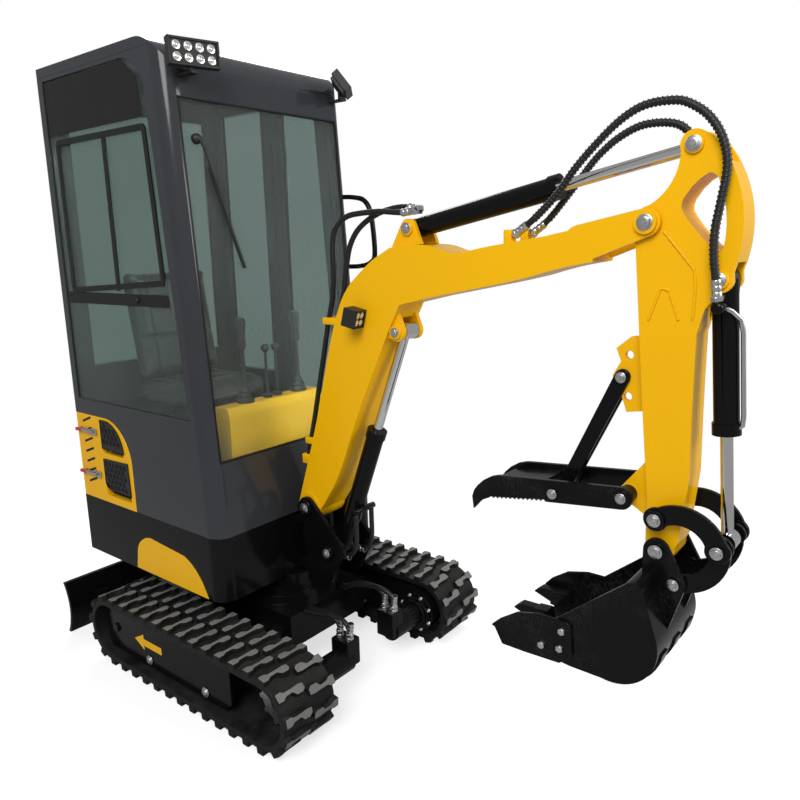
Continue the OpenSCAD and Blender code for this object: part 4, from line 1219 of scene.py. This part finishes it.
# %% Latches, patch and arrows
steel_bm, red_bm = bmesh.new(), bmesh.new()
for z in (890, 714):
    block_into(steel_bm, mm(-640, -414, z - 13), mm(-596, -405.5, z + 13))
    block_into(steel_bm, mm(-712, -411, z - 10), mm(-690, -405.5, z + 10))
    tube_into(steel_bm, [mm(-612, -418, z), mm(-660, -420, z + 1), mm(-706, -417, z)], 0.005, 10)
    tube_into(steel_bm, [mm(-640, -416, z + 7), mm(-690, -414, z + 7), mm(-698, -414, z),
                         mm(-690, -414, z - 7), mm(-640, -416, z - 7)], 0.0028, 8)
    tube_into(red_bm, [mm(-700, -417, z), mm(-722, -417, z - 1), mm(-738, -416, z - 2)], 0.0075, 12)
hardware("hood_latches", steel_bm, "house", bright_steel, 0.0006)
hardware("hood_latch_grips", red_bm, "house", red_grip, 0.001)
bm = bmesh.new()
patch_edge = ((-402, 371), (50, 369), (18, 425), (-15, 462), (-46, 485), (-79, 500), (-296, 518), (-326, 510),
              (-350, 497), (-372, 478), (-385, 455))
plate_into(bm, [mm(x, -hood_y - 0.2, z) for x, z in patch_edge], Vector((0, -0.0012, 0)), 0.004)
hardware("blank_patch", bm, "house", yellow_paint)
bm = bmesh.new()
arrow = [(-311, 140), (-252, 172), (-252, 154), (-138, 154), (-138, 126), (-252, 126), (-252, 108)]
for side in (-1, 1):
    plate_into(bm, [mm(x, side * 500.2, z) for x, z in arrow], Vector((0, side * 0.001, 0)))
hardware("track_arrows", bm, "undercarriage", yellow_paint)
print("side trim", faces_of("hood_latches", "hood_latch_grips", "blank_patch", "track_arrows"))

# %% [markdown]
# Welds join the arm's plates. A weld is a bead of small ripples, so a tube whose radius rises and falls along
# the seam is close to the real thing, and it takes the paint of the plates it joins. A bent steel line carries
# oil along the bucket cylinder.

# %% Weld beads and steel lines
def bead_into(bm, corners, radius=0.0035):
    path = []
    for a, b in zip(corners, corners[1:]):
        steps = max(2, int((b - a).length / 0.006))
        path += [a.lerp(b, i / steps) for i in range(steps)]
    tube_into(bm, path + [corners[-1]], radius, 8, wave=0.22)


def arm_seam(side, rows):
    return [mm(pins["A"][0] + x, side * 48.4, pins["A"][1] + z) for x, z in rows]


bm = bmesh.new()
for side in (-1, 1):
    bead_into(bm, arm_seam(side, ((39, -23), (114, -112), (120, -156), (117, -230))))
    bead_into(bm, arm_seam(side, ((11, -235), (38, -157), (58, -161), (84, -232))))
hardware("arm_welds", bm, "arm", yellow_paint)
bm = bmesh.new()
tube_into(bm, [mm(1616, -40, 1430), mm(1634, -30, 1420), mm(1652, -14, 1400), mm(1657, -8, 1370),
               mm(1672, -8, 1170), mm(1671, -8, 1146), mm(1658, -4, 1136)], 0.006, 12)
hardware("bucket_cylinder_line", bm, body_of_node["bucket_barrel"], bright_steel)
print("welds and line", faces_of("arm_welds", "bucket_cylinder_line"))

# %% [markdown]
# The seat is two vinyl cushions. A cushion could be a bevelled box, but real foam swells between its seams,
# so each is a rounded block that is remeshed, blown up a little as cloth under pressure, and then has its sewn
# channels pressed in. How far a point may travel is capped, and the underside stays flat on its base.

# %% Seat cushions
def swollen(name, size, travel):
    bm = bmesh.new()
    bmesh.ops.create_cube(bm, size=1.0, matrix=Matrix.Diagonal((*size, 1)))
    bmesh.ops.bevel(bm, geom=bm.edges[:], offset=min(size) * 0.32, affect="EDGES", segments=4, profile=0.5,
                    material=-1)
    mesh = bpy.data.meshes.new(name)
    bm.to_mesh(mesh)
    bm.free()
    pad = bpy.data.objects.new(name + "_form", mesh)
    scene.collection.objects.link(pad)
    grid = pad.modifiers.new("grid", "REMESH")
    grid.mode = "VOXEL"
    grid.voxel_size = 0.006
    view = bpy.context.evaluated_depsgraph_get()
    start = bpy.data.meshes.new_from_object(pad.evaluated_get(view))
    pad.modifiers.clear()
    pad.data = start
    held = [v.index for v in start.vertices if v.co.z < -size[2] * 0.42]
    rest = [v.co.copy() for v in start.vertices]
    pad.vertex_groups.new(name="held").add(held, 1.0, "REPLACE")
    foam = pad.modifiers.new("foam", "CLOTH")
    foam.settings.use_pressure = True
    foam.settings.uniform_pressure_force = 4.0
    foam.settings.effector_weights.gravity = 0.0
    foam.settings.vertex_group_mass = "held"
    foam.settings.quality = 4
    for step in range(1, 21):
        scene.frame_set(step)
    view = bpy.context.evaluated_depsgraph_get()
    blown = bpy.data.meshes.new_from_object(pad.evaluated_get(view))
    moved = [b.co - a for a, b in zip(rest, blown.vertices)]
    rest = [a + d * min(1.0, travel / max(d.length, 1e-9)) for a, d in zip(rest, moved)]
    scene.frame_set(1)
    bpy.data.objects.remove(pad)
    bm = bmesh.new()
    bm.from_mesh(start)
    for v, place in zip(bm.verts, rest):
        v.co = place
    return bm


def press_channels(bm, top, rows):
    for v in bm.verts:
        if v.co.z > top:
            for axis, at in rows:
                gap = (v.co.y if axis == "y" else v.co.x) - at
                v.co.z -= 0.007 * math.exp(-(gap / 0.008) ** 2)


def cushion(name, size, travel, rows, place, tilt):
    bm = swollen(name, size, travel)
    press_channels(bm, size[2] * 0.25, rows)
    bmesh.ops.transform(bm, matrix=Matrix.Translation(place) @ Matrix.Rotation(tilt, 4, "Y"), verts=bm.verts)
    node = "seat" if name == "seat_cushion" else None
    piece = keep_piece(name, bm, "house", seat_vinyl, node)
    fine = piece.modifiers.new("fine", "SUBSURF")
    fine.levels = fine.render_levels = 1
    return len(piece.data.vertices)


channels = [("y", -0.11), ("y", 0.11)]
print("cushions", cushion("seat_cushion", (0.350, 0.392, 0.072), 0.012, channels + [("x", 0.06)],
                          mm(-449, 0, 1021), 0.0),
      cushion("seat_back", (0.440, 0.376, 0.062), 0.010, channels + [("x", 0.05)],
              mm(-621, 0, 1284), math.radians(-9 + 90)))
